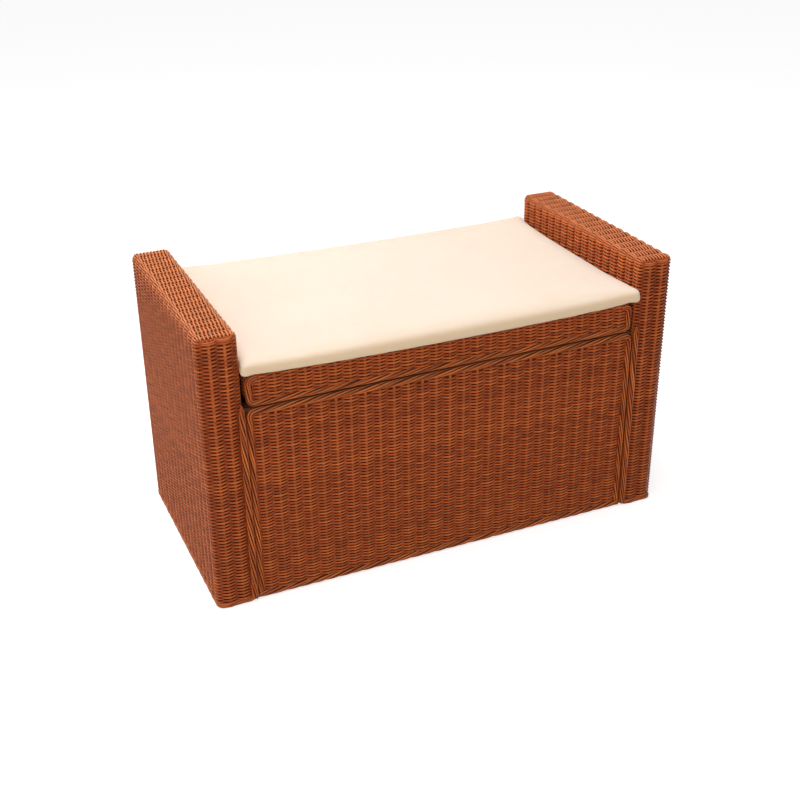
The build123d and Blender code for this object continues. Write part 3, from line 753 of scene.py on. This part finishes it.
# ---- materials ------------------------------------------------------------------------------
class Finish:
    """A material under construction: adds nodes and wires them."""

    def __init__(self, name):
        self.material = bpy.data.materials.new(name)
        self.material.use_nodes = True
        self.tree = self.material.node_tree
        self.tree.nodes.clear()

    def add(self, kind, inputs=None, **settings):
        """Add a node. Inputs are given by socket name or number, as a value or another socket."""
        made = self.tree.nodes.new(kind)
        for setting, value in settings.items():
            setattr(made, setting, value)
        for socket, value in (inputs or {}).items():
            if isinstance(value, bpy.types.NodeSocket):
                self.tree.links.new(value, made.inputs[socket])
            else:
                made.inputs[socket].default_value = value
        return made

    def place(self):
        """Where a point is on its own object."""
        return self.add("ShaderNodeTexCoord").outputs["Object"]

    def level(self):
        """How far a point faces up on its own object, from -1 to 1."""
        facing = self.add("ShaderNodeTexCoord").outputs["Normal"]
        return self.add("ShaderNodeSeparateXYZ", {0: facing}).outputs[2]

    def maths(self, operation, first, second=0.0):
        """The result of one sum."""
        return self.add("ShaderNodeMath", {0: first, 1: second}, operation=operation).outputs[0]

    def total(self, *parts):
        """The sum of several values, each times its share."""
        first, *others = [self.maths("MULTIPLY", value, share) for value, share in parts]
        for other in others:
            first = self.maths("ADD", first, other)
        return first

    def remap(self, value, low, high, start, end):
        """A value taken from one range to another and held at its ends."""
        inputs = {0: value, 1: low, 2: high, 3: start, 4: end}
        return self.add("ShaderNodeMapRange", inputs).outputs[0]

    def stretched(self, vector, scale):
        """A vector scaled along its own axes, to draw a pattern out."""
        return self.add("ShaderNodeMapping", {"Vector": vector, "Scale": scale}).outputs[0]

    def noise(self, vector, scale, detail=2.0, roughness=0.5):
        """Smooth noise from 0 to 1; three numbers as its scale draw it out along the axes."""
        if isinstance(scale, tuple):
            vector, scale = self.stretched(vector, scale), 1.0
        inputs = {"Vector": vector, "Scale": scale, "Detail": detail, "Roughness": roughness}
        return self.add("ShaderNodeTexNoise", inputs).outputs[0]

    def waves(self, vector, scale, distortion, detail, detail_scale, **settings):
        """Parallel or round waves from 0 to 1."""
        inputs = {"Vector": vector, "Scale": scale, "Distortion": distortion, "Detail": detail,
                  "Detail Scale": detail_scale}
        return self.add("ShaderNodeTexWave", inputs, **settings).outputs[1]

    def mix(self, factor, first, second, blend="MIX"):
        """Two colours mixed; each is a socket or three numbers."""
        inputs = {0: factor}
        for socket, value in ((6, first), (7, second)):
            inputs[socket] = value if isinstance(value, bpy.types.NodeSocket) else (*value, 1.0)
        return self.add("ShaderNodeMix", inputs, data_type="RGBA", blend_type=blend).outputs[2]

    def ramp(self, factor, *stops):
        """A colour along a ramp of (position, colour) stops."""
        made = self.add("ShaderNodeValToRGB", {0: factor})
        while len(made.color_ramp.elements) < len(stops):
            made.color_ramp.elements.new(0.5)
        for element, (position, value) in zip(made.color_ramp.elements, stops):
            element.position = position
            element.color = (*value, 1.0)
        return made.outputs[0]

    def shade(self, base, rough, height, relief, **inputs):
        """End in a principled shader, bumped by a height."""
        bump = self.add("ShaderNodeBump", {"Height": height, "Distance": relief}).outputs[0]
        inputs = {name.replace("_", " "): value for name, value in inputs.items()}
        shader = self.add("ShaderNodeBsdfPrincipled", {
            "Base Color": base, "Roughness": rough, "Normal": bump, **inputs})
        self.add("ShaderNodeOutputMaterial", {"Surface": shader.outputs[0]})
        return self.material


# A cane's light, middle and dark colours (None for a middle halfway between the others), how much
# the canes' tones differ, the painted shade: colour left at the bottom of a dip and along a cane's
# sides, and the crest, from 0 behind a stake to 1 in front, up to which a dip is that dark.
CANES = {
    "woven_cane": ("cane_light", "cane_mid", "cane_dark", 0.34, 0.42, 0.6, 0.0),
    "arm_cane": ("cane_light", "cane_mid", "cane_dark", 0.30, 0.42, 0.6, 0.32),
    "stake_cane": ("cane_mid", "stake", "cane_dark", 0.2, 1.0, 0.8, 0.0),
    "bound_cane": ("binding_light", None, "binding_dark", 0.40, 0.25, 0.25, 0.0),
}


def cane_finish(name, colours):
    """Stained, lacquered cane: each cane has its own tone and long grain; painted shade darkens
    it where it dips behind a stake and along the sides where canes touch, and a painted
    highlight lightens what faces up and sparse flecks along the grain."""
    light, mid, dark, contrast, dip_shade, side_shade, dip = CANES[name]
    light, dark = getattr(colours, light), getattr(colours, dark)
    mid = getattr(colours, mid) if mid else (light + dark) / 2
    finish = Finish(name)
    place = finish.add("ShaderNodeUVMap", uv_map="Cane").outputs[0]
    along, lane = finish.add("ShaderNodeSeparateXYZ", {0: place}).outputs[:2]
    number = finish.maths("FLOOR", lane)
    tone = finish.add("ShaderNodeTexWhiteNoise", {"W": number}, noise_dimensions="1D").outputs[0]
    apart = finish.maths("MULTIPLY", number, 3.7)
    vector = finish.add("ShaderNodeCombineXYZ", {0: along, 1: lane, 2: apart}).outputs[0]
    slow = finish.noise(vector, (14.0, 0.6, 1.0), 1.0)
    grain = finish.noise(vector, (55.0, 9.0, 1.0), 3.0, 0.6)
    fibre = finish.noise(vector, (180.0, 26.0, 1.0))
    varied = finish.maths("SUBTRACT", tone, 0.5)
    shade = finish.total((varied, contrast), (slow, 0.40), (grain, 0.60), (1.0, 0.02))
    base = finish.ramp(shade, (0.18, dark), (0.5, mid), (0.82, light))

    # painted shade: the cane is darkened where it dips behind a stake, read from its crest, and
    # along its sides and back where canes touch
    crest = finish.add("ShaderNodeAttribute", attribute_name="crest").outputs[2]
    aside = finish.maths("ABSOLUTE", finish.maths("SUBTRACT", finish.maths("FRACT", lane), 0.5))
    painted_shade = finish.maths("MULTIPLY", finish.remap(crest, dip, 0.9, dip_shade, 1.0),
                        finish.remap(aside, 0.13, 0.26, 1.0, side_shade))
    # the painted shade goes deeper in green and blue, so it is redder as well as darker, and
    # multiplies the cane's colour
    stain = finish.add("ShaderNodeCombineColor", {
        0: painted_shade, 1: finish.maths("POWER", painted_shade, 1.5), 2: finish.maths("POWER", painted_shade, 2.0)})
    base = finish.mix(1.0, base, stain.outputs[0], "MULTIPLY")
    # painted highlight: the cane is lightened towards the highlight colour where it faces up and in
    # sparse flecks along its grain, less where painted shade lies
    painted_highlight = finish.maths("MAXIMUM", finish.remap(finish.level(), 0.55, 0.98, 0.0, 0.62),
                            finish.remap(fibre, 0.60, 0.72, 0.0, 0.4))
    base = finish.mix(finish.maths("MULTIPLY", painted_highlight, painted_shade), base, colours.cane_highlight)
    return finish.shade(base, finish.remap(grain, 0.2, 0.8, 0.34, 0.55), fibre, 0.00025,
                        Specular_IOR_Level=0.24)


def core_finish(name, colours):
    """Painted shade for the dim insides of the weave: dull, mottled as the canes behind it are, and
    painted lighter in the stake colour where it faces up, as if lit from above.
    """
    finish = Finish(name)
    mottle = finish.noise(finish.place(), (70.0, 70.0, 320.0), 3.0)
    base = finish.ramp(mottle, (0.3, 0.45 * colours.core), (0.7, colours.core))
    # painted light: the shade sheet takes the lighter stake colour where it faces up
    base = finish.mix(finish.remap(finish.level(), 0.6, 0.95, 0.0, 0.8), base, colours.stake)
    return finish.shade(base, 0.8, mottle, 0.0003, Specular_IOR_Level=0.05)


def pole_finish(colours):
    """Rattan poles with the skin on: mottled, with a ring at each joint."""
    finish = Finish("bare_pole")
    place = finish.place()
    mottle = finish.noise(place, (60.0, 60.0, 12.0), 4.0)
    rings = finish.waves(place, 1.6, 3.0, 2.0, 4.0, wave_type="BANDS", bands_direction="DIAGONAL")
    base = finish.ramp(mottle, (0.3, colours.pole_dark), (0.65, colours.pole_light))
    base = finish.mix(finish.remap(rings, 0.93, 1.0, 0.0, 0.8), base, colours.pole_dark)
    return finish.shade(base, 0.45, mottle, 0.0006)


def timber_finish(name, colours, scale):
    """Planed softwood, its grain drawn out along one axis."""
    finish = Finish(name)
    vector = finish.stretched(finish.place(), scale)
    grain = finish.waves(vector, 2.2, 5.0, 3.0, 0.8, wave_type="RINGS",
                         rings_direction="SPHERICAL")
    pores = finish.noise(vector, (9.0, 9.0, 9.0), 3.0)
    base = finish.ramp(finish.total((grain, 0.7), (pores, 0.4)),
                       (0.15, colours.timber_light), (0.95, colours.timber_dark))
    return finish.shade(base, 0.62, pores, 0.0004)


def plywood_finish(colours):
    """Plywood: a plain face and thin plies in its edges."""
    finish = Finish("sawn_plywood")
    place = finish.place()
    face = finish.noise(place, (2.0, 40.0, 40.0), 4.0)
    height = finish.add("ShaderNodeSeparateXYZ", {0: place}).outputs[2]
    plies = finish.maths("SINE", finish.maths("MULTIPLY", height, tau / PLY_PAIR))
    facing = finish.add("ShaderNodeNewGeometry").outputs["Normal"]
    level = finish.maths("ABSOLUTE", finish.add("ShaderNodeSeparateXYZ", {0: facing}).outputs[2])
    edge = finish.maths("MULTIPLY", finish.remap(plies, -0.2, 0.2, 0.0, 0.35),
                        finish.maths("SUBTRACT", 1.0, level))
    base = finish.ramp(finish.total((edge, 1.0), (face, 0.8)),
                       (0.2, colours.timber_light), (0.9, colours.timber_dark))
    return finish.shade(base, 0.68, face, 0.0003)


def steel_finish(name, colours, brushed):
    """Zinc-plated steel with a faint lengthwise brushing."""
    finish = Finish(name)
    place = finish.place()
    scratch = finish.noise(place, (brushed, 900.0, 900.0))
    cloud = finish.noise(place, 60.0, 3.0)
    base = finish.ramp(cloud, (0.3, 0.62 * colours.steel), (0.7, colours.steel))
    return finish.shade(base, finish.remap(scratch, 0.0, 1.0, 0.24, 0.46), scratch, 0.00005,
                        Metallic=1.0)


def cloth_finish(colours):
    """Plain-woven cotton: fine crossing threads, slubs and a soft bloom, with painted light in a
    warmer colour where it faces sideways.
    """
    finish = Finish("plain_cotton")
    place = finish.place()
    threads = [finish.waves(place, 430.0, 1.2, 1.0, 1.0, wave_type="BANDS", bands_direction=axis)
               for axis in ("X", "Y")]
    weave = finish.maths("MULTIPLY", finish.maths("ADD", *threads), 0.5)
    slub = finish.noise(place, (30.0, 420.0, 420.0))
    cloud = finish.noise(place, 7.0, 3.0)
    base = finish.ramp(finish.total((weave, 0.30), (slub, 0.35), (cloud, 0.35)),
                       (0.2, colours.cloth_shade), (0.62, colours.cloth))
    # painted light: the cover turns the warmer side colour where it faces sideways or down
    side = finish.remap(finish.level(), 0.15, 0.98, 1.0, 0.0)
    base = finish.mix(side, base, colours.cloth_side_light)
    return finish.shade(base, 0.88, weave, 0.00012, Specular_IOR_Level=0.2, Sheen_Weight=0.15,
                        Sheen_Roughness=0.5, Subsurface_Weight=0.5, Subsurface_Scale=0.02,
                        Subsurface_Radius=(1.0, 0.6, 0.4))


def studio_white(name, base, glow):
    """A pale surface that takes shadows, and shows a little lighter to the camera."""
    finish = Finish(name)
    diffuse = finish.add("ShaderNodeBsdfDiffuse", {"Color": (*base, 1.0)}).outputs[0]
    rays = finish.add("ShaderNodeLightPath")
    seen = finish.maths("MAXIMUM", rays.outputs["Is Camera Ray"], rays.outputs["Is Glossy Ray"])
    seen = finish.maths("MAXIMUM", seen, rays.outputs["Is Transmission Ray"])
    light = finish.add("ShaderNodeEmission", {"Color": (1.0, 1.0, 1.0, 1.0),
                                              "Strength": finish.maths("MULTIPLY", seen, glow)})
    both = finish.add("ShaderNodeAddShader", {0: diffuse, 1: light.outputs[0]}).outputs[0]
    finish.add("ShaderNodeOutputMaterial", {"Surface": both})
    return finish.material


def dress(piece, body, kind, *replaced):
    """Hand over a piece of cane or its core, in a material that is made once."""
    colours = bpy.context.scene.bench_colours
    make = cane_finish if kind in CANES else core_finish
    material = bpy.data.materials.get(kind) or make(kind, colours)
    hand_over(piece, body, material, replaced)


# ---- operators ------------------------------------------------------------------------------
FLOOR_SIZE = 20.0
FLOOR_GLOW = 0.68
# Each light's name, the property that holds its power, its size, its place and its target
LIGHTS = (("key_light", "key", 1.6, (-0.4, 0.2, 2.6), (0.0, 0.0, 0.3)),
          ("fill_light", "fill", 1.4, (-1.8, -2.9, 1.5), (0.0, 0.0, 0.25)),
          ("side_light", "side", 1.2, (-3.0, 1.0, 1.2), (0.0, 0.0, 0.25)))


class BENCH_OT_stage(bpy.types.Operator):
    """Set up the camera, the lights and the floor"""
    bl_idname = "bench.stage"
    bl_label = "Stage"

    def execute(self, context):
        scene = context.scene
        studio = scene.bench_studio
        camera = bpy.data.objects.new("camera", bpy.data.cameras.new("camera"))
        scene.collection.objects.link(camera)
        camera.data.lens = studio.lens
        camera.data.sensor_width = 36.0
        camera.data.clip_end = 60.0
        turn = Euler((pi / 2 - studio.tilt, 0, -studio.heading)).to_matrix().to_4x4()
        camera.matrix_world = (Matrix.Translation(studio.camera_place) @ turn
                               @ Matrix.Rotation(studio.roll, 4, "Z"))
        scene.camera = camera

        for name, power, size, place, target in LIGHTS:
            light = bpy.data.lights.new(name, "AREA")
            light.energy = getattr(studio, power)
            light.shape = "SQUARE"
            light.size = size
            made = bpy.data.objects.new(name, light)
            scene.collection.objects.link(made)
            aim = (Vector(target) - Vector(place)).to_track_quat("-Z", "Y")
            made.matrix_world = Matrix.Translation(place) @ aim.to_matrix().to_4x4()

        bm = bmesh.new()
        bmesh.ops.create_grid(bm, x_segments=1, y_segments=1, size=FLOOR_SIZE)
        floor = mesh_object(bm, "studio_floor")
        floor.data.materials.append(
            studio_white("studio_floor", scene.bench_colours.floor, FLOOR_GLOW))

        world = scene.world = bpy.data.worlds.new("studio")
        world.use_nodes = True
        tree = world.node_tree
        rays = tree.nodes.new("ShaderNodeLightPath")
        strength = tree.nodes.new("ShaderNodeMix")
        strength.inputs[2].default_value = studio.sky
        strength.inputs[3].default_value = 1.0
        tree.links.new(rays.outputs["Is Camera Ray"], strength.inputs[0])
        background = tree.nodes["Background"]
        background.inputs[0].default_value = (1.0, 1.0, 1.0, 1.0)
        tree.links.new(strength.outputs[0], background.inputs[1])
        scene.view_settings.view_transform = "Standard"
        return {"FINISHED"}


class BENCH_OT_panels(bpy.types.Operator):
    """Weave the front and back of the chest"""
    bl_idname = "bench.panels"
    bl_label = "Panels"

    def execute(self, context):
        weave = context.scene.bench_weave
        for name, side in FACES:
            wall = panel_wall(weave, name, side)
            canes, stakes = CaneSet(weave.sides), CaneSet(STAKE_SIDES)
            wall.add_rows(canes, side * 7.0, weave.wander, PANEL_PAST)
            wall.add_stakes(stakes, STAKE_CREST)
            panel = f"{name}_panel"
            dress(canes.finish(f"{panel}_canes"), "chest", "woven_cane", f"{panel}_weave")
            dress(stakes.finish(f"{panel}_stakes"), "chest", "stake_cane")
            dress(wall.core(f"{panel}_core"), "chest", "core_shade")
        return {"FINISHED"}


class BENCH_OT_arms(bpy.types.Operator):
    """Weave the two arms"""
    bl_idname = "bench.arms"
    bl_label = "Arms"

    def execute(self, context):
        weave = context.scene.bench_weave
        binding = context.scene.bench_binding
        rings, along = arm_rows(weave)
        half = len(rings) // 2
        for name, seed in ARM_SEEDS:
            arm = f"{name}_arm"
            centre = middle(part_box(f"{arm}_weave"), 0)
            dress(arm_rings(weave, centre, rings[:half], 0, f"{arm}_lower_canes", seed),
                  "chest", "arm_cane", f"{arm}_weave")
            dress(arm_rings(weave, centre, rings[half:], half, f"{arm}_upper_canes", seed),
                  "chest", "arm_cane")
            dress(arm_top_canes(weave, centre, along, len(rings), f"{arm}_top_canes", seed),
                  "chest", "woven_cane")
            dress(arm_core(weave, centre, f"{arm}_core"), "chest", "core_shade")
            dress(arm_stake_canes(weave, centre, f"{arm}_stakes"), "chest", "stake_cane")
            dress(bound_edge(binding, f"{arm}_foot_binding", arm_foot_line(weave, binding, centre),
                             Z, binding.foot_thickness, binding.foot_height, seed),
                  "chest", "bound_cane")
        return {"FINISHED"}


class BENCH_OT_lid(bpy.types.Operator):
    """Weave the lid"""
    bl_idname = "bench.lid"
    bl_label = "Lid"

    def execute(self, context):
        weave = context.scene.bench_weave
        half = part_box("lid_right_border")[0][0]
        rows = lid_arch(weave).rows(weave.panel_row, rise_of(weave))
        part = len(rows) // 2
        dress(lid_canes(weave, "lid_front_canes", rows[:part], 0, half), "lid", "woven_cane",
              "lid_weave")
        dress(lid_canes(weave, "lid_back_canes", rows[part:], part, half), "lid", "woven_cane")
        dress(lid_stakes(weave, half), "lid", "stake_cane")
        dress(lid_core(weave, half), "lid", "core_shade")
        for name, side in ENDS:
            wall = lid_end_wall(weave, name, side)
            canes = CaneSet(weave.sides)
            wall.add_rows(canes, side * 3.0, weave.wander / 2)
            wall.add_stakes(canes, END_STAKE_CREST)
            dress(canes.finish(f"lid_{name}_end_canes"), "lid", "woven_cane")
            dress(wall.core(f"lid_{name}_end_core"), "lid", "core_shade")
        return {"FINISHED"}


class BENCH_OT_borders(bpy.types.Operator):
    """Bind the edges of the panels and the lid"""
    bl_idname = "bench.borders"
    bl_label = "Borders"

    def execute(self, context):
        binding = context.scene.bench_binding
        bend, step = binding.bend, binding.step
        for name, side in FACES:
            low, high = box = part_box(f"{name}_panel_border")
            width = high[2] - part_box(f"{name}_panel_weave")[1][2]
            y = middle(box, 1)
            x = high[0] - width / 2
            z = high[2] - width / 2
            line = rounded_line([(-x, y, low[2]), (-x, y, z), (x, y, z), (x, y, low[2])],
                                bend, step)
            border = bound_edge(binding, f"{name}_panel_binding", line, Y * side, width,
                                high[1] - low[1], 2.0 * side)
            dress(border, "chest", "bound_cane", f"{name}_panel_border")

            low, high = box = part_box(f"{name}_plinth_band")
            size, z = high[2] - low[2], middle(box, 2)
            line = run_between((low[0], y, z), (high[0], y, z), step)
            plinth = bound_edge(binding, f"{name}_plinth_binding", line, Y * side, size, size,
                                4.0 * side)
            dress(plinth, "chest", "bound_cane", f"{name}_plinth_band")

            low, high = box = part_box(f"lid_{name}_border")
            size, y = high[1] - low[1], middle(box, 1)
            x = high[0] - size / 2
            z = low[2] + size / 2
            top = high[2] - size / 2
            turn = x - 2 * bend
            line = rounded_line([(-turn, y, top), (-x, y, top), (-x, y, z), (x, y, z),
                                 (x, y, top), (turn, y, top)], bend, step)
            border = bound_edge(binding, f"lid_{name}_binding", line, Y * side, size, size,
                                6.0 * side)
            dress(border, "lid", "bound_cane", f"lid_{name}_border")
        for name, side in ENDS:
            low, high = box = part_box(f"lid_{name}_border")
            size = high[2] - low[2]
            inset = size / 2 + EDGE_INSET
            edge_x, edge_z = side * (LID_BOX[1][0] - inset), LID_BOX[1][2] - inset
            for part, x, z, seed, replaced in (
                    ("binding", middle(box, 0), middle(box, 2), 8.0, [f"lid_{name}_border"]),
                    ("edge_binding", edge_x, edge_z, 9.0, [])):
                line = run_between((x, low[1], z), (x, high[1], z), step)
                band = bound_edge(binding, f"lid_{name}_{part}", line, X * side, size, size,
                                  seed * side)
                dress(band, "lid", "bound_cane", *replaced)
        return {"FINISHED"}


class BENCH_OT_braids(bpy.types.Operator):
    """Bind the arms' inner corners"""
    bl_idname = "bench.braids"
    bl_label = "Corner braids"

    def execute(self, context):
        binding = context.scene.bench_binding
        for arm, _ in ENDS:
            for end, side in FACES:
                node = f"{arm}_arm_{end}_braid"
                low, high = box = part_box(node)
                x, y = middle(box, 0), middle(box, 1)
                foot = low[2] + binding.foot_height * FOOT_OVERLAP
                line = run_between((x, y, foot), (x, y, high[2]), binding.step)
                width = high[0] - low[0]
                braid = bound_edge(binding, f"{node}_canes", line, Y * side, width, width,
                                   3.0 * side + x, binding.point)
                dress(braid, "chest", "bound_cane", node)
        return {"FINISHED"}


class BENCH_OT_cushion(bpy.types.Operator):
    """Puff up the seat cushion as cloth over its foam"""
    bl_idname = "bench.cushion"
    bl_label = "Cushion"

    def execute(self, context):
        cushion = context.scene.bench_cushion
        low, high = CUSHION_BOX
        size = high - low
        foam_low, foam_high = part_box("cushion_foam")
        shrink = [(size[axis] - 2 * cushion.inset) / (foam_high[axis] - foam_low[axis])
                  for axis in range(3)]
        bm = bmesh.new()
        bm.from_mesh(NODES["cushion_foam"].data)
        bmesh.ops.remove_doubles(bm, verts=bm.verts, dist=SHEET_MERGE)
        bmesh.ops.translate(bm, verts=bm.verts, vec=-(foam_low + foam_high) / 2)
        bmesh.ops.scale(bm, verts=bm.verts, vec=shrink)
        bmesh.ops.translate(bm, verts=bm.verts, vec=(low + high) / 2)
        piece = mesh_object(bm, "cushion")
        apply_modifier(piece, "REMESH", mode="VOXEL", voxel_size=cushion.voxel)
        puff_up(piece, cushion)
        shape_cushion(piece, cushion, low, high)
        apply_modifier(piece, "SUBSURF", levels=1, render_levels=1)
        piece.data.shade_smooth()
        hand_over(piece, "cushion", cloth_finish(context.scene.bench_colours),
                  ["cushion_cover", "cushion_foam"])
        return {"FINISHED"}


def keep_result(piece):
    """Make what a piece's modifiers give its own mesh."""
    evaluated = piece.evaluated_get(bpy.context.evaluated_depsgraph_get())
    mesh = bpy.data.meshes.new_from_object(evaluated)
    piece.modifiers.clear()
    piece.data = mesh


def apply_modifier(piece, kind, **settings):
    """Give a piece a modifier and keep only its result."""
    modifier = piece.modifiers.new(kind.lower(), kind)
    for setting, value in settings.items():
        setattr(modifier, setting, value)
    bpy.context.view_layer.update()
    keep_result(piece)


CLOTH_MASS = 0.3
CLOTH_STIFFNESS = 25.0


def puff_up(piece, cushion):
    """Swell the piece as cloth under pressure, no point further than the cap."""
    before = [vert.co.copy() for vert in piece.data.vertices]
    modifier = piece.modifiers.new("cloth", "CLOTH")
    settings = modifier.settings
    settings.use_pressure = True
    settings.uniform_pressure_force = cushion.pressure
    settings.effector_weights.gravity = 0.0
    settings.mass = CLOTH_MASS
    settings.tension_stiffness = settings.compression_stiffness = CLOTH_STIFFNESS
    modifier.point_cache.frame_end = cushion.frames
    for step in range(1, cushion.frames + 1):
        bpy.context.scene.frame_set(step)
    keep_result(piece)
    bpy.context.scene.frame_set(1)
    for vert, start in zip(piece.data.vertices, before):
        move = vert.co - start
        if move.length > cushion.puff:
            vert.co = start + move * (cushion.puff / move.length)


CORNER_DRAWN, EDGE_DRAWN = 0.9, 0.85  # how far rounded edges are drawn out towards square ones
HANG_REACH = 0.022                    # how far from the front the lower edge hangs
HANG_MIDDLE = 0.12                    # where it hangs lowest, from -1 at the left to 1
RIDE_REACH = 0.12                     # how far from the front the lower corners ride up
LEFT_RIDE = 0.6                       # the left corner's share of that


def squared(first, second, zone, share):
    """Draw a rounded edge out towards a square one: two distances in from its faces become two
    others, where both are less than the zone."""
    a, b = zone - first, zone - second
    if a <= 0.0 or b <= 0.0:
        return first, second
    stretch = 1.0 + share * (sqrt(a * a + b * b) / max(a, b) - 1.0)
    return zone - a * stretch, zone - b * stretch


def nearness(distance, reach):
    """1 at no distance, falling to 0 at the reach."""
    return max(0.0, 1.0 - distance / reach)


def shape_cushion(piece, cushion, low, high):
    """Fit the swollen piece to its place, sharpen its corners and its lower edge, pull the back
    in between its corners, and let the front hang over the lid's rounded edge."""
    points = [vert.co.copy() for vert in piece.data.vertices]
    least = Vector([min(point[axis] for point in points) for axis in range(3)])
    most = Vector([max(point[axis] for point in points) for axis in range(3)])
    size = high - low
    for vert in piece.data.vertices:
        share = Vector([(vert.co[axis] - least[axis]) / (most[axis] - least[axis])
                        for axis in range(3)])
        side = 1 if share.x > 0.5 else -1
        end = 1 if share.y > 0.5 else -1
        x = size.x * (0.5 - abs(share.x - 0.5))
        y = size.y * (0.5 - abs(share.y - 0.5))
        z = size.z * share.z
        x, y = squared(x, y, cushion.corner, CORNER_DRAWN)
        x, z = squared(x, z, cushion.lower_edge, EDGE_DRAWN)
        y, z = squared(y, z, cushion.lower_edge, EDGE_DRAWN)
        if end > 0:
            y, top = squared(y, size.z - z, cushion.corner, CORNER_DRAWN)
            z = size.z - top
        across = side * (1.0 - 2 * x / size.x)
        bow = 1.0 - across * across
        back = 1.0 - y / size.y if end > 0 else y / size.y
        front = size.y * back
        hang = nearness(front, HANG_REACH) ** 1.5 * (1.0 - (across - HANG_MIDDLE) ** 2)
        ride = nearness(front, RIDE_REACH) ** 2 * across ** 8 * (1.0 if across > 0 else LEFT_RIDE)
        z += cushion.lift * ride - cushion.droop * hang * (1.0 - 0.5 * share.z)
        z -= cushion.roll * nearness(front, cushion.roll_reach) ** 2 * share.z
        z += cushion.heave * back ** 3 * max(0.0, -across) ** 1.5 + cushion.stand * back ** 6
        y -= end * (cushion.stand * (1.0 - bow) - cushion.waist * bow) * back ** 6
        vert.co = Vector((high.x - x if side > 0 else low.x + x,
                          high.y - y if end > 0 else low.y + y, low.z + z))


class BENCH_OT_frame(bpy.types.Operator):
    """Finish the poles, rails, boards, hinges and screws"""
    bl_idname = "bench.frame"
    bl_label = "Frame"

    def execute(self, context):
        colours = context.scene.bench_colours
        pole = pole_finish(colours)
        along_x = timber_finish("timber_along_x", colours, (1.4, 24.0, 24.0))
        along_y = timber_finish("timber_along_y", colours, (24.0, 1.4, 24.0))
        plywood = plywood_finish(colours)
        hinge = steel_finish("hinge_steel", colours, 12.0)
        screw = steel_finish("screw_steel", colours, 200.0)
        for name, node in NODES.items():
            if node.hide_render:
                continue
            if name.endswith("screws"):
                material = screw
            elif "hinge" in name:
                material = hinge
            elif name.endswith(("hoop", "post")):
                material = pole
            elif "board" in name:
                material = plywood
            elif name.startswith(("lid_slat", "lid_left", "lid_right", "floor_bearer")):
                material = along_y
            elif name.endswith("rail"):
                material = along_x
            else:
                raise RuntimeError(f"nothing says how {name} is finished")
            node.data.materials.clear()
            node.data.materials.append(material)
        return {"FINISHED"}


class BENCH_PT_panel(bpy.types.Panel):
    """Shows the bench's steps and their settings"""
    bl_idname = "BENCH_PT_panel"
    bl_label = "Woven storage bench"
    bl_space_type = "VIEW_3D"
    bl_region_type = "UI"
    bl_category = "Bench"

    def draw(self, context):
        for operator in OPERATORS:
            self.layout.operator(operator.bl_idname)
        for name in GROUPS:
            box = self.layout.box()
            group = getattr(context.scene, name)
            for key in group.__annotations__:
                box.prop(group, key)


GROUPS = {
    "bench_weave": BenchWeave,
    "bench_binding": BenchBinding,
    "bench_colours": BenchColours,
    "bench_cushion": BenchCushion,
    "bench_studio": BenchStudio,
}
OPERATORS = (BENCH_OT_stage, BENCH_OT_panels, BENCH_OT_arms, BENCH_OT_lid, BENCH_OT_borders,
             BENCH_OT_braids, BENCH_OT_cushion, BENCH_OT_frame)


def register():
    for cls in (*GROUPS.values(), *OPERATORS, BENCH_PT_panel):
        bpy.utils.register_class(cls)
    for name, group in GROUPS.items():
        setattr(bpy.types.Scene, name, PointerProperty(type=group))


def unregister():
    for name in GROUPS:
        delattr(bpy.types.Scene, name)
    for cls in (BENCH_PT_panel, *reversed(OPERATORS), *GROUPS.values()):
        bpy.utils.unregister_class(cls)


def main():
    """Make the whole bench."""
    register()
    bpy.ops.bench.stage()
    bpy.ops.bench.panels()
    bpy.ops.bench.arms()
    bpy.ops.bench.lid()
    bpy.ops.bench.borders()
    bpy.ops.bench.braids()
    bpy.ops.bench.cushion()
    bpy.ops.bench.frame()


if __name__ == "__main__":
    main()
